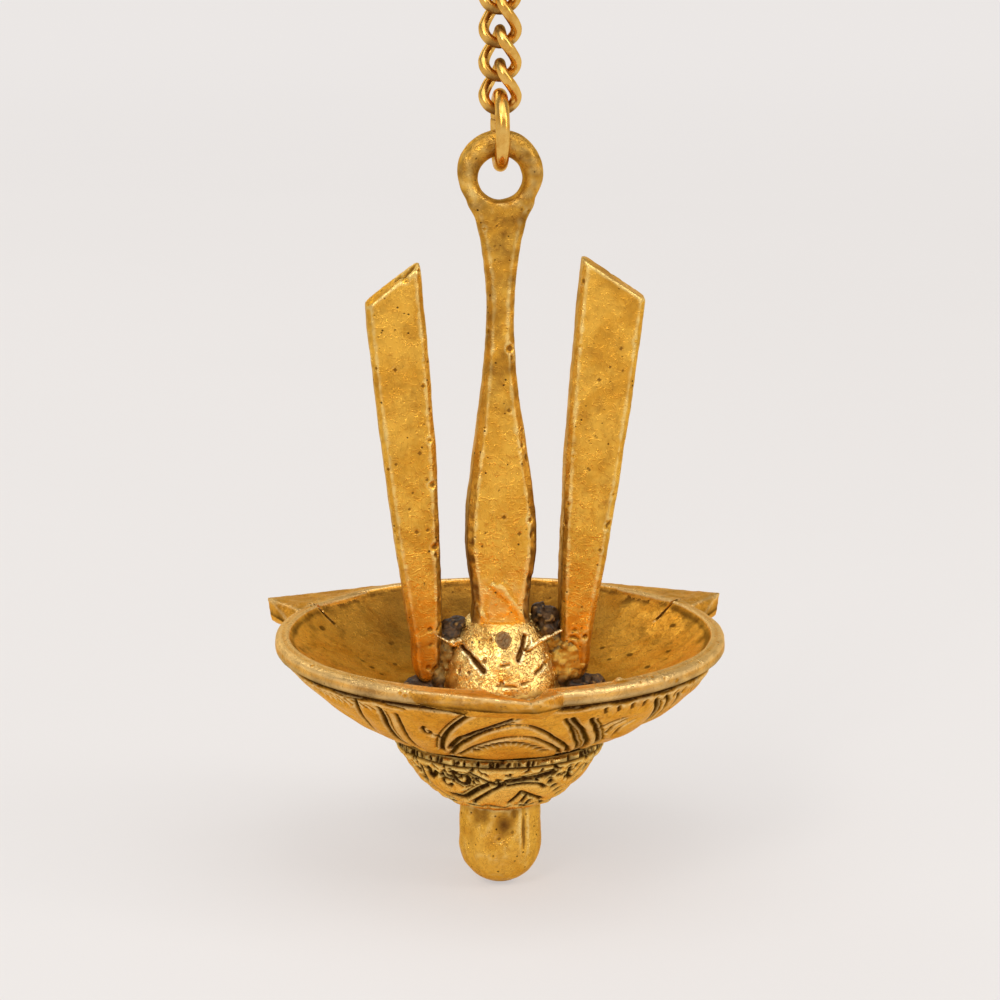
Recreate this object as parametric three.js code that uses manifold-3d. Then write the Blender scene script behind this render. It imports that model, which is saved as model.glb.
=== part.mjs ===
// Hanging brass oil lamp: a three-spouted bowl with a trident of three uprights,
// hung by a curb chain from a bent-wire hook.
// Millimetres, +Z up. The origin is the hanging point: the inside of the hook's bend,
// where the hook sits on its nail or rod. Everything hangs below it.
// The front of the lamp, with its middle spout, faces -Y.

import * as THREE from 'three';
import { mergeVertices } from 'three/addons/utils/BufferGeometryUtils.js';
import { ConvexGeometry } from 'three/addons/geometries/ConvexGeometry.js';
import Module from 'manifold-3d';

const wasm = await Module();
wasm.setup();

// Fits
const seatGap = 0.3; // between pieces that sit on or in one another
const linkGap = 0.3; // between wires that hang in one another

// Finial knob
const finialHeight = 15.9;
const finialRadius = 7.5;
const finialNeckRadius = 7.1;
const finialTipFlat = 2;
const finialShoulder = 2.4; // height of the shoulder below the knob's top

// Carved lower cup
const cupHeight = 12;
const cupRimRadius = 18.9;
const cupRimHeight = 1.4;
const cupFootRadius = 8.1;
const cupWall = 2.7;
const cupFloor = 2.8;
const cupFootHandle = [4.5, 0.9]; // shape of the cup's side: outwards and upwards from its foot
const cupRimHandle = [-2.6, -4]; // and from the underside of its rim

// Bowl
const rimRadius = 40;
const rimWidth = 2.7;
const rimBand = 3;
const rimEdge = 0.45; // small round on the rim's edges
const bandStep = 0.9; // how far the rim band stands out from the carved underside
const bowlHeight = 18.1;
const bowlDepth = 10.8;
const floorRadius = 12.5;
const bowlFootRadius = 18.4;
const bowlFloorThickness = 3.3;
const recessChamfer = 1.5; // in the hollow under the bowl's floor
const undersideFootHandle = [8.2, 3.2]; // shape of the underside: from its foot
const undersideRimHandle = [-6.8, -6.8]; // and from the rim band
const insideRimHandle = [-6, -5.75]; // shape of the inside: from the rim
const insideFloorHandle = [8, 0.4]; // and from the floor's edge

// Wick spouts
const sideSpoutReach = 8.5; // how far a side spout's tip stands outside the rim
const frontSpoutReach = 6;
const sideSpoutTipHeight = 4.4; // height of the upright edge at a side spout's tip
const frontSpoutTipHeight = 1.2;
const spoutTipRake = 0.8; // the lower end of that edge sits this much further in
const spoutDrop = 5.2; // from the rim's top to where the spout's keel meets the bowl
const spoutKeelRise = 0.6; // the keel is this much higher on the long side
const spoutRootSkin = 0.15; // the spout's root stays this far inside the wall of the rim
const spoutShortSide = 9; // degrees from the tip to the near end of the steep side
const rightSpoutTurn = 118; // degrees from the front of the lamp to the right spout
const leftSpoutTurn = 122; // and to the left one
const frontSpoutTurn = 2; // degrees, how far the front spout sits off the middle
const wickSlotWidth = 1.3;
const wickSlotLength = 5.3;
const wickSlotSetback = 0.5; // its outer end, in from the rim's outside
const wickSlotStart = 0.6; // depth at its outer end
const wickSlotEnd = 7; // depth at its inner end, where it runs out in the bowl's wall

// Boss in the middle of the bowl
const bossHeight = 13;
const bossTopRadius = 5.7;
const bossRadius = 11.2;
const bossSkirtRadius = 12.2;
const bossSkirtHeight = 1.1;
const bossSkirtHandle = [-0.6, 4.1]; // shape of the boss's side: from its skirt
const bossTopHandle = [2.6, -2.2]; // and from its top

// Stud that holds finial, cup, bowl and boss together
const studRadius = 2.5;
const studInFinial = 11;
const studInBoss = 5;

// Centre stem
const stemLength = 77.8; // from the boss to the centre of the eye's hole
const stemFootHalfWidth = 4.85;
const stemBellyHalfWidth = 6.2;
const stemNeckHalfWidth = 2.35;
const stemShoulderHalfWidth = 4.5;
const stemBellyHeight = 14.8; // above the stem's foot
const stemNeckHeight = 55.5; // above the stem's foot
const bellyFullness = 0.85; // below 1, the stem slims sooner above its belly
const stemFootHalfDepth = 4.3;
const stemNeckHalfDepth = 2.3;
const stemChamfer = 1;
const tangHalfWidth = 3.2;
const tangHalfDepth = 2.4;
const tangLength = 7.2;

// Eye at the top of the stem
const eyeHoleRadius = 3.8;
const eyeOuterRadius = 7.45;
const eyeOffset = 0.9; // the outer round sits this much above the hole's centre
const eyeHalfDepth = 2.4;

// Rivet through the boss and the stem's tang
const rivetRadius = 1.45;
const rivetBelowTop = 2.4; // below the boss's top
const rivetHead = 0.3; // how far the rivet stands out of the boss

// Side bars
const barFootRise = 1.9; // the bars' feet, above the boss's underside
const barLength = 75; // from the foot to the high inner corner
const barTopSlant = 7.4; // the outer top corner is this much lower
const barWaistRise = 6.8; // height of the rounded foot
const barFootInner = 10.4;
const barFootOuter = 15.9;
const barTopInner = 14.3;
const leftBarTopOuter = 23.4;
const rightBarTopOuter = 25.3;
const rightBarRise = 0.7; // the right bar is this much taller than the left one
const barInnerBow = 0.875; // how far the inner edge bows towards the stem
const barOuterBow = 0.55; // how far the outer edge bows outwards
const barFootHalfDepth = 3.7;
const barTopHalfDepth = 2.3;
const barChamfer = 0.7;
const barFootTip = 0.95; // half-width of the flat end of the rounded foot

// Braze metal around the feet of the bars
const brazeRadius = 4.8;
const brazeHeight = 2.1;
const brazeOutwards = 0.4; // from the middle of the bar's foot

// Rings at both ends of the chain
const ringWire = 2.5;
const ringOuter = 14.4;

// Curb chain
const linkCount = 7;
const linkWire = 2;
const linkLength = 10;
const linkWidth = 7.8;
const linkTwist = -90; // degrees from the lower end of a link to its upper end

// Hook
const hookWire = 3;
const hookInnerRadius = 6.5;
const hookShank = 17; // from the hook's bend centre to the eye's top
const hookShankCurve = 13.6; // the upper part of the shank, which curves back to the middle
const hookEyeInnerRadius = 3.6;
const hookTipAngle = 205; // degrees, where the open end of the hook stops
const hookEyeStart = 40; // degrees, where the shank runs into the eye
const hookEyeEnd = 105; // degrees, where the wire's end closes the eye

// Mesh fineness
const bowlSegments = 60;
const cupSegments = 40;
const smallSegments = 30;
const rivetSegments = 20;
const curveSteps = 7;
const stemStations = 18;
const barStations = 12;
const barFootSteps = 4;
const eyeSides = 10;
const brazeSides = 18;
const brazeRows = 10;
const wireSides = 8;
const ringSteps = 28;
const linkSteps = 24;
const hookSteps = 56;
const hookAngleStep = 15; // degrees
const weldDistance = 1e-4; // vertices closer than this are one
const cutOver = 1; // how far a cutting or joined body runs past the face it crosses
const chamferLimit = 0.45; // no chamfer takes more than this share of a half-width

const deg = Math.PI / 180;

// Heights in the lamp's own frame, from the finial's tip up
const cupBottom = finialHeight + seatGap;
const cupTop = cupBottom + cupHeight;
const bowlBottom = cupTop + seatGap;
const rimTop = bowlBottom + bowlHeight;
const bowlFloor = rimTop - bowlDepth;
const bossBottom = bowlFloor + seatGap;
const bossTop = bossBottom + bossHeight;
const stemFoot = bossTop + seatGap;
const eyeHole = stemFoot + stemLength;
const eyeCentre = eyeHole + eyeOffset;
const studBottom = finialHeight - studInFinial;
const studTop = bossBottom + studInBoss;
const tangBottom = stemFoot - tangLength;
const rivetHeight = bossTop - rivetBelowTop;
const barFoot = bossBottom + barFootRise;

// Brass and its darker places
const brass = (color, roughness) => new THREE.MeshStandardMaterial({ color, roughness, metalness: 1 });
const polishedBrass = brass(0xc9962f, 0.3);
const agedBrass = brass(0xb98428, 0.42);
const carvedBrass = brass(0xa87524, 0.5);
const filedBrass = brass(0xe0bd62, 0.25);
const sootyMetal = brass(0x6b4e2a, 0.7);

// Geometry helpers

// A closed geometry as a solid that can be cut and joined
function toSolid(geometry) {
  const bare = geometry.index ? geometry.toNonIndexed() : geometry.clone();
  bare.deleteAttribute('normal');
  bare.deleteAttribute('uv');
  const merged = mergeVertices(bare, weldDistance);
  const mesh = new wasm.Mesh({
    numProp: 3,
    vertProperties: new Float32Array(merged.attributes.position.array),
    triVerts: new Uint32Array(merged.index.array),
  });
  return new wasm.Manifold(mesh);
}

// A cut or joined solid as a geometry again
function toGeometry(solid) {
  const mesh = solid.getMesh();
  const geometry = new THREE.BufferGeometry();
  geometry.setAttribute('position', new THREE.BufferAttribute(mesh.vertProperties, 3));
  geometry.setIndex(new THREE.BufferAttribute(mesh.triVerts, 1));
  const flat = geometry.toNonIndexed();
  flat.computeVertexNormals();
  return flat;
}

// A body turned about Z from a closed outline of [radius, height] points
function turned(outline, segments) {
  const points = outline.map(([radius, height]) => new THREE.Vector2(radius, height));
  if (points[0].x > 0) {
    points.push(points[0].clone());
  }
  const geometry = new THREE.LatheGeometry(points, segments);
  geometry.rotateX(Math.PI / 2);
  return geometry;
}

// A closed skin over rings of points, each ring counterclockwise from above, going up
function loft(rings) {
  const count = rings[0].length;
  const positions = [];
  const indices = [];
  for (const ring of rings) {
    for (const point of ring) {
      positions.push(point.x, point.y, point.z);
    }
  }
  for (let level = 0; level < rings.length - 1; level += 1) {
    for (let i = 0; i < count; i += 1) {
      const a = level * count + i;
      const b = level * count + ((i + 1) % count);
      indices.push(a, b, b + count);
      indices.push(a, b + count, a + count);
    }
  }
  const top = (rings.length - 1) * count;
  for (let i = 1; i < count - 1; i += 1) {
    indices.push(0, i + 1, i);
    indices.push(top, top + i, top + i + 1);
  }
  const geometry = new THREE.BufferGeometry();
  geometry.setAttribute('position', new THREE.Float32BufferAttribute(positions, 3));
  geometry.setIndex(indices);
  return geometry;
}

// A rectangle with its corners cut, as [across, deep] pairs, counterclockwise
function chamferedRectangle(halfWidth, halfDepth, chamfer) {
  const cut = Math.min(chamfer, halfWidth * chamferLimit, halfDepth * chamferLimit);
  return [
    [halfWidth - cut, -halfDepth],
    [halfWidth, cut - halfDepth],
    [halfWidth, halfDepth - cut],
    [halfWidth - cut, halfDepth],
    [cut - halfWidth, halfDepth],
    [-halfWidth, halfDepth - cut],
    [-halfWidth, cut - halfDepth],
    [cut - halfWidth, -halfDepth],
  ];
}

// From 0 to 1, slow at both ends
function ease(t) {
  return (1 - Math.cos(Math.PI * t)) / 2;
}

function mix(a, b, t) {
  return a + (b - a) * t;
}

// A smooth outline from start to end, leaving and reaching them along their handles
function sweep(start, startHandle, endHandle, end) {
  const curve = new THREE.CubicBezierCurve(
    new THREE.Vector2(start[0], start[1]),
    new THREE.Vector2(start[0] + startHandle[0], start[1] + startHandle[1]),
    new THREE.Vector2(end[0] + endHandle[0], end[1] + endHandle[1]),
    new THREE.Vector2(end[0], end[1]),
  );
  return curve.getPoints(curveSteps).map((point) => [point.x, point.y]);
}

function cylinder(radius, bottom, top) {
  const geometry = new THREE.CylinderGeometry(radius, radius, top - bottom, smallSegments);
  geometry.rotateX(Math.PI / 2);
  geometry.translate(0, 0, (bottom + top) / 2);
  return geometry;
}

// Finial, cup and stud

function finialKnob() {
  const shoulder = finialHeight - finialShoulder;
  const outline = [[0, 0]];
  const start = Math.asin(finialTipFlat / finialRadius);
  for (let i = 0; i <= curveSteps; i += 1) {
    const angle = mix(start, Math.PI / 2, i / curveSteps);
    const drop = finialRadius * (Math.cos(start) - Math.cos(angle));
    outline.push([finialRadius * Math.sin(angle), drop]);
  }
  outline.push([finialRadius, shoulder]);
  outline.push([finialNeckRadius, finialHeight]);
  outline.push([studRadius + seatGap, finialHeight]);
  outline.push([studRadius + seatGap, studBottom - seatGap]);
  outline.push([0, studBottom - seatGap]);
  return turned(outline, smallSegments);
}

function carvedCup() {
  const rimBottom = cupTop - cupRimHeight;
  const foot = [cupFootRadius, cupBottom];
  const outer = sweep(foot, cupFootHandle, cupRimHandle, [cupRimRadius, rimBottom]);
  const inner = outer
    .filter(([, height]) => height > cupBottom + cupFloor)
    .map(([radius, height]) => [radius - cupWall, height])
    .reverse();
  const bore = studRadius + seatGap;
  const outline = [
    ...outer,
    [cupRimRadius, cupTop],
    [cupRimRadius - cupWall, cupTop],
    ...inner,
    [bore, cupBottom + cupFloor],
    [bore, cupBottom],
  ];
  return turned(outline, cupSegments);
}

function centreStud() {
  return cylinder(studRadius, studBottom, studTop);
}

// Bowl

function bowlBody() {
  const bandBottom = rimTop - rimBand;
  const innerRadius = rimRadius - rimWidth;
  const bore = studRadius + seatGap;
  const recessRadius = cupRimRadius - cupWall;
  const recessRoof = bowlFloor - bowlFloorThickness;
  const foot = [bowlFootRadius, bowlBottom];
  const underBand = [rimRadius - bandStep, bandBottom];
  const underRim = [innerRadius, rimTop - rimEdge];
  const underside = sweep(foot, undersideFootHandle, undersideRimHandle, underBand);
  const inside = sweep(underRim, insideRimHandle, insideFloorHandle, [floorRadius, bowlFloor]);
  const outline = [
    ...underside,
    [rimRadius, bandBottom + rimEdge],
    [rimRadius, rimTop - rimEdge],
    [rimRadius - rimEdge, rimTop],
    [innerRadius + rimEdge, rimTop],
    ...inside,
    [bore, bowlFloor],
    [bore, recessRoof],
    [recessRadius - recessChamfer, recessRoof],
    [recessRadius, recessRoof - recessChamfer],
    [recessRadius, bowlBottom],
  ];
  return turned(outline, bowlSegments);
}

// One spout, pointing along +X: a flat lip flush with the rim, tangent to it on the long side,
// with a steep face on the short side and a keel that runs back into the bowl
function spoutBody(reach, tipHeight, longSide) {
  const tip = rimRadius + reach;
  const tangent = Math.acos(rimRadius / tip);
  const near = -spoutShortSide * deg;
  const root = rimRadius - rimWidth + rimEdge;
  const edge = rimRadius - spoutRootSkin;
  const at = (radius, angle, height) =>
    new THREE.Vector3(radius * Math.cos(angle), longSide * radius * Math.sin(angle), height);
  const bandBottom = rimTop - rimBand;
  const points = [
    at(tip, 0, rimTop),
    at(tip - spoutTipRake, 0, rimTop - tipHeight),
    at(root, 0, rimTop),
    at(edge, tangent, rimTop),
    at(edge, tangent, bandBottom + rimEdge),
    at(root, near / 2, bandBottom),
    at(edge, near, bandBottom),
    at(edge - bandStep, near / 2, rimTop - spoutDrop),
    at(edge - bandStep, tangent / 2, rimTop - spoutDrop + spoutKeelRise),
  ];
  return new ConvexGeometry(points);
}

// The groove that a wick lies in, cut into the bowl's wall behind a spout
function wickSlot() {
  const outerEnd = rimRadius - wickSlotSetback;
  const wedge = (radius, depth) => [
    new THREE.Vector3(radius, -wickSlotWidth / 2, rimTop + cutOver),
    new THREE.Vector3(radius, wickSlotWidth / 2, rimTop + cutOver),
    new THREE.Vector3(radius, 0, rimTop - depth),
  ];
  const shallow = wedge(outerEnd, wickSlotStart);
  const deep = wedge(outerEnd - wickSlotLength, wickSlotEnd);
  return new ConvexGeometry([...shallow, ...deep]);
}

function oilBowl() {
  const front = -90;
  const spouts = [
    { angle: front + frontSpoutTurn, reach: frontSpoutReach, tipHeight: frontSpoutTipHeight, longSide: -1 },
    { angle: front + rightSpoutTurn, reach: sideSpoutReach, tipHeight: sideSpoutTipHeight, longSide: 1 },
    { angle: front - leftSpoutTurn, reach: sideSpoutReach, tipHeight: sideSpoutTipHeight, longSide: -1 },
  ];
  let solid = toSolid(bowlBody());
  for (const spout of spouts) {
    const body = spoutBody(spout.reach, spout.tipHeight, spout.longSide);
    body.rotateZ(spout.angle * deg);
    solid = solid.add(toSolid(body));
  }
  for (const spout of spouts) {
    const slot = wickSlot();
    slot.rotateZ(spout.angle * deg);
    solid = solid.subtract(toSolid(slot));
  }
  return solid;
}

// Centre stem with its eye and tang

// The blade ends in the middle of the ring's metal, under the hole
const bladeLength = stemLength - (eyeHoleRadius + eyeOuterRadius - eyeOffset) / 2;

function stemHalfWidth(height) {
  if (height < stemBellyHeight) {
    return mix(stemFootHalfWidth, stemBellyHalfWidth, ease(height / stemBellyHeight));
  }
  if (height < stemNeckHeight) {
    const up = (height - stemBellyHeight) / (stemNeckHeight - stemBellyHeight);
    return mix(stemBellyHalfWidth, stemNeckHalfWidth, ease(up ** bellyFullness));
  }
  const up = (height - stemNeckHeight) / (bladeLength - stemNeckHeight);
  return mix(stemNeckHalfWidth, stemShoulderHalfWidth, up * up);
}

function stemBlade() {
  const rings = [];
  for (let i = 0; i <= stemStations; i += 1) {
    const height = (bladeLength * i) / stemStations;
    const slim = ease(Math.min(1, height / stemNeckHeight));
    const halfDepth = mix(stemFootHalfDepth, stemNeckHalfDepth, slim);
    const section = chamferedRectangle(stemHalfWidth(height), halfDepth, stemChamfer);
    rings.push(section.map(([across, deep]) => new THREE.Vector3(across, deep, stemFoot + height)));
  }
  return loft(rings);
}

// A ring in the XZ plane whose hole and outer round have different centres
function eyeRing() {
  const around = smallSegments;
  const positions = [];
  const indices = [];
  for (let i = 0; i < around; i += 1) {
    const angle = (2 * Math.PI * i) / around;
    const inner = [eyeHoleRadius * Math.cos(angle), eyeHole + eyeHoleRadius * Math.sin(angle)];
    const outer = [eyeOuterRadius * Math.cos(angle), eyeCentre + eyeOuterRadius * Math.sin(angle)];
    for (let j = 0; j < eyeSides; j += 1) {
      const turn = (2 * Math.PI * j) / eyeSides;
      const share = (1 + Math.cos(turn)) / 2;
      const x = mix(inner[0], outer[0], share);
      const z = mix(inner[1], outer[1], share);
      positions.push(x, eyeHalfDepth * Math.sin(turn), z);
    }
  }
  for (let i = 0; i < around; i += 1) {
    for (let j = 0; j < eyeSides; j += 1) {
      const a = i * eyeSides + j;
      const b = i * eyeSides + ((j + 1) % eyeSides);
      const c = ((i + 1) % around) * eyeSides + j;
      const d = ((i + 1) % around) * eyeSides + ((j + 1) % eyeSides);
      indices.push(a, b, d);
      indices.push(a, d, c);
    }
  }
  const geometry = new THREE.BufferGeometry();
  geometry.setAttribute('position', new THREE.Float32BufferAttribute(positions, 3));
  geometry.setIndex(indices);
  return geometry;
}

function tang(extra, top) {
  const length = top - tangBottom + extra;
  const geometry = new THREE.BoxGeometry(2 * (tangHalfWidth + extra), 2 * (tangHalfDepth + extra), length);
  geometry.translate(0, 0, top - length / 2);
  return geometry;
}

function rivetBody(radius, halfLength) {
  const geometry = new THREE.CylinderGeometry(radius, radius, 2 * halfLength, rivetSegments);
  geometry.translate(0, 0, rivetHeight);
  return geometry;
}

function centreStem() {
  return toSolid(stemBlade())
    .add(toSolid(tang(0, stemFoot + cutOver)))
    .add(toSolid(eyeRing()))
    .subtract(toSolid(rivetBody(rivetRadius + seatGap, tangHalfDepth + cutOver)));
}

// Boss

function bossProfile(extra) {
  const overSkirt = [bossRadius + extra, bossBottom + bossSkirtHeight];
  const flank = sweep(overSkirt, bossSkirtHandle, bossTopHandle, [bossTopRadius + extra, bossTop]);
  return [
    [0, bossBottom - extra],
    [bossSkirtRadius + extra, bossBottom - extra],
    [bossSkirtRadius + extra, bossBottom + bossSkirtHeight / 2 + extra],
    ...flank,
    [0, bossTop + extra],
  ];
}

function centreBoss() {
  let solid = toSolid(turned(bossProfile(0), smallSegments));
  solid = solid.subtract(toSolid(tang(seatGap, bossTop + cutOver)));
  solid = solid.subtract(toSolid(cylinder(studRadius + seatGap, bossBottom - cutOver, tangBottom)));
  solid = solid.subtract(toSolid(rivetBody(rivetRadius + seatGap, 2 * bossRadius)));
  for (const side of [-1, 1]) {
    solid = solid.subtract(toSolid(barBody(side, seatGap)));
  }
  return solid;
}

// Radius of the boss's flank at the rivet's height
function bossRadiusAtRivet() {
  const flank = bossProfile(0).filter(([radius]) => radius > 0);
  for (let i = 1; i < flank.length; i += 1) {
    const [lowRadius, low] = flank[i - 1];
    const [highRadius, high] = flank[i];
    if (low <= rivetHeight && rivetHeight <= high && high > low) {
      return mix(lowRadius, highRadius, (rivetHeight - low) / (high - low));
    }
  }
  return bossTopRadius;
}

function bossRivet() {
  return rivetBody(rivetRadius, bossRadiusAtRivet() + rivetHead);
}

// Side bars

// A bar's edge from waist to top, bowed sideways by a quadratic curve
function barEdge(low, high, bow, lowHeight, highHeight, t) {
  const across = mix(low, high, t) + 4 * bow * t * (1 - t);
  return [across, mix(lowHeight, highHeight, t)];
}

function barSection(side, inner, outer, halfDepth, extra) {
  const middle = [(inner[0] + outer[0]) / 2, (inner[1] + outer[1]) / 2];
  const along = [outer[0] - inner[0], outer[1] - inner[1]];
  const width = Math.hypot(along[0], along[1]);
  const unit = [along[0] / width, along[1] / width];
  const ring = chamferedRectangle(width / 2 + extra, halfDepth + extra, barChamfer).map(
    ([across, deep]) =>
      new THREE.Vector3(side * (middle[0] + across * unit[0]), deep, middle[1] + across * unit[1]),
  );
  return side > 0 ? ring : ring.reverse();
}

function barBody(side, extra) {
  const topOuter = side < 0 ? leftBarTopOuter : rightBarTopOuter;
  const waist = barFoot + barWaistRise;
  const top = barFoot + barLength + (side < 0 ? 0 : rightBarRise);
  const waistMiddle = (barFootInner + barFootOuter) / 2;
  const waistHalf = (barFootOuter - barFootInner) / 2;
  const rings = [];
  for (let i = 0; i < barFootSteps; i += 1) {
    const down = Math.cos((Math.PI / 2) * (i / barFootSteps));
    const height = waist - barWaistRise * down - (i === 0 ? extra : 0);
    const half = Math.max(barFootTip, Math.sqrt(1 - down * down) * waistHalf);
    const inner = [waistMiddle - half, height];
    const outer = [waistMiddle + half, height];
    rings.push(barSection(side, inner, outer, barFootHalfDepth, extra));
  }
  for (let i = 0; i <= barStations; i += 1) {
    const t = i / barStations;
    const inner = barEdge(barFootInner, barTopInner, -barInnerBow, waist, top, t);
    const outer = barEdge(barFootOuter, topOuter, barOuterBow, waist, top - barTopSlant, t);
    const halfDepth = mix(barFootHalfDepth, barTopHalfDepth, t);
    rings.push(barSection(side, inner, outer, halfDepth, extra));
  }
  return loft(rings);
}

// Braze metal that fills the corner between a bar's foot, the boss and the bowl
function braze(side) {
  const lump = new THREE.SphereGeometry(1, brazeSides, brazeRows);
  lump.rotateX(Math.PI / 2);
  lump.scale(brazeRadius, brazeRadius, brazeHeight);
  const across = (barFootInner + barFootOuter) / 2 + brazeOutwards;
  lump.translate(side * across, 0, barFoot);
  const bowlBelow = bowlBody();
  bowlBelow.translate(0, 0, seatGap);
  const bossInside = turned(bossProfile(seatGap), smallSegments);
  return toSolid(lump)
    .subtract(toSolid(bowlBelow))
    .subtract(toSolid(bossInside))
    .subtract(toSolid(barBody(side, seatGap)));
}

// Chain, rings and hook

// The centre line of a curb link: an oval whose plane turns steadily from end to end
class CurbLinkCurve extends THREE.Curve {
  constructor() {
    super();
    this.halfLength = (linkLength - linkWire) / 2;
    this.bend = (linkWidth - linkWire) / 2;
    this.straight = 2 * (this.halfLength - this.bend);
  }

  getPoint(t) {
    const arc = Math.PI * this.bend;
    const total = 2 * (arc + this.straight);
    let s = ((t % 1) + 1) % 1 * total;
    let across;
    let height;
    if (s < this.straight) {
      across = this.bend;
      height = s - this.straight / 2;
    } else if (s < this.straight + arc) {
      s = (s - this.straight) / this.bend;
      across = this.bend * Math.cos(s);
      height = this.straight / 2 + this.bend * Math.sin(s);
    } else if (s < 2 * this.straight + arc) {
      across = -this.bend;
      height = this.straight / 2 - (s - this.straight - arc);
    } else {
      s = Math.PI + (s - 2 * this.straight - arc) / this.bend;
      across = this.bend * Math.cos(s);
      height = -this.straight / 2 + this.bend * Math.sin(s);
    }
    const turn = (linkTwist / 2) * deg * (1 + Math.sin((Math.PI * height) / (2 * this.halfLength)));
    return new THREE.Vector3(across * Math.cos(turn), across * Math.sin(turn), height);
  }
}

function curbLink() {
  const line = new CurbLinkCurve();
  return new THREE.TubeGeometry(line, linkSteps, linkWire / 2, wireSides, true);
}

function wireRing() {
  return new THREE.TorusGeometry((ringOuter - ringWire) / 2, ringWire / 2, wireSides, ringSteps);
}

const hookBend = hookInnerRadius + hookWire / 2;
const hookEyeRadius = hookEyeInnerRadius + hookWire / 2;
const hookEyeCentre = -hookInnerRadius - hookShank - hookEyeRadius;

// One wire: hooked over in the XZ plane, down the shank, and closed to an eye in the YZ plane
function hangingHook() {
  const points = [];
  for (let angle = hookTipAngle; angle > 0; angle -= hookAngleStep) {
    const x = hookBend * Math.cos(angle * deg);
    points.push(new THREE.Vector3(x, 0, hookBend * Math.sin(angle * deg) - hookInnerRadius));
  }
  const shankTop = -hookInnerRadius;
  const shankSteps = 4;
  for (let i = 0; i < shankSteps; i += 1) {
    const t = i / shankSteps;
    points.push(new THREE.Vector3(hookBend * (1 - ease(t)), 0, shankTop - hookShankCurve * t));
  }
  points.push(new THREE.Vector3(0, 0, shankTop - (hookShankCurve + hookShank) / 2));
  for (let angle = hookEyeStart; angle >= hookEyeEnd - 360; angle -= hookAngleStep) {
    const y = hookEyeRadius * Math.cos(angle * deg);
    points.push(new THREE.Vector3(0, y, hookEyeCentre + hookEyeRadius * Math.sin(angle * deg)));
  }
  const path = new THREE.CatmullRomCurve3(points, false, 'centripetal');
  const section = new THREE.Shape();
  section.absarc(0, 0, hookWire / 2, 0, 2 * Math.PI, false);
  const curveSegments = wireSides / 2;
  return new THREE.ExtrudeGeometry(section, { steps: hookSteps, curveSegments, extrudePath: path });
}

// Heights of the hanging pieces below the hanging point
const hang = (wireCentre, upperWire, lowerWire) => wireCentre + (upperWire + lowerWire) / 2 + linkGap;
const ringBend = (ringOuter - ringWire) / 2;
const linkHalf = (linkLength - linkWire) / 2;
const topRingCentre = hang(hookEyeCentre - hookEyeRadius, hookWire, ringWire) - ringBend;
const linkPitch = 2 * linkHalf - linkWire - linkGap;
const firstLinkCentre = hang(topRingCentre - ringBend, ringWire, linkWire) - linkHalf;
const lastLinkCentre = firstLinkCentre - (linkCount - 1) * linkPitch;
const jumpRingCentre = hang(lastLinkCentre - linkHalf, linkWire, ringWire) - ringBend;
const eyeHoleTop = jumpRingCentre - ringBend + ringWire / 2 + linkGap;
const lampHeight = eyeHoleTop - eyeHoleRadius - eyeHole;

// Assembly

function piece(name, shape, material) {
  const geometry = shape.isBufferGeometry ? shape : toGeometry(shape);
  const mesh = new THREE.Mesh(geometry, material);
  mesh.name = name;
  return mesh;
}

const lamp = new THREE.Group();
lamp.position.z = lampHeight;
lamp.add(piece('finial_knob', finialKnob(), polishedBrass));
lamp.add(piece('carved_base_cup', carvedCup(), carvedBrass));
lamp.add(piece('centre_stud', centreStud(), agedBrass));
lamp.add(piece('oil_bowl', oilBowl(), agedBrass));
lamp.add(piece('centre_boss', centreBoss(), filedBrass));
lamp.add(piece('centre_stem', centreStem(), agedBrass));
lamp.add(piece('boss_rivet', bossRivet(), sootyMetal));
lamp.add(piece('left_bar', barBody(-1, 0), agedBrass));
lamp.add(piece('right_bar', barBody(1, 0), agedBrass));
lamp.add(piece('left_braze', braze(-1), sootyMetal));
lamp.add(piece('right_braze', braze(1), sootyMetal));

const hanging = new THREE.Group();
hanging.add(piece('hanging_hook', hangingHook(), agedBrass));

const topRing = piece('top_ring', wireRing(), polishedBrass);
topRing.rotation.x = Math.PI / 2;
topRing.position.z = topRingCentre;
hanging.add(topRing);

for (let i = 0; i < linkCount; i += 1) {
  const link = piece(`chain_link_${i + 1}`, curbLink(), polishedBrass);
  link.position.z = firstLinkCentre - i * linkPitch;
  hanging.add(link);
}

const jumpRing = piece('jump_ring', wireRing(), polishedBrass);
jumpRing.rotation.y = Math.PI / 2;
jumpRing.position.z = jumpRingCentre;
hanging.add(jumpRing);

const hangingLamp = new THREE.Group();
hangingLamp.add(hanging);
hangingLamp.add(lamp);

export default hangingLamp;
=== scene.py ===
import math

import bpy
import bmesh
import numpy as np
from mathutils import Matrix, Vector, noise


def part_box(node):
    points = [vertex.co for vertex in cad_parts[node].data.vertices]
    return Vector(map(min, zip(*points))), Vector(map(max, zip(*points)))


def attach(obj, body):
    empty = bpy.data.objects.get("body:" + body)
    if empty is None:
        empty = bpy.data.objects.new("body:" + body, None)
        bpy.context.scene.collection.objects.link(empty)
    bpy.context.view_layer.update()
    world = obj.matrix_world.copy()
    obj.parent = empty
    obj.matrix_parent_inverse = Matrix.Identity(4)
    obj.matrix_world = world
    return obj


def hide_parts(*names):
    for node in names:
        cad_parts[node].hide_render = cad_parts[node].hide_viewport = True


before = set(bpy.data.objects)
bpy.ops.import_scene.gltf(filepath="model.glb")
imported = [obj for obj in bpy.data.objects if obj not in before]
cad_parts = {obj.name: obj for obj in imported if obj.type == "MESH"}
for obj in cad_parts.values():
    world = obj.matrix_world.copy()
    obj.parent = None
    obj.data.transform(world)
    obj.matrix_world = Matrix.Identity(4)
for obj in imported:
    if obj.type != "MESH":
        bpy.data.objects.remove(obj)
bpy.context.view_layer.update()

MM = 0.001
DEG = math.pi / 180

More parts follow.
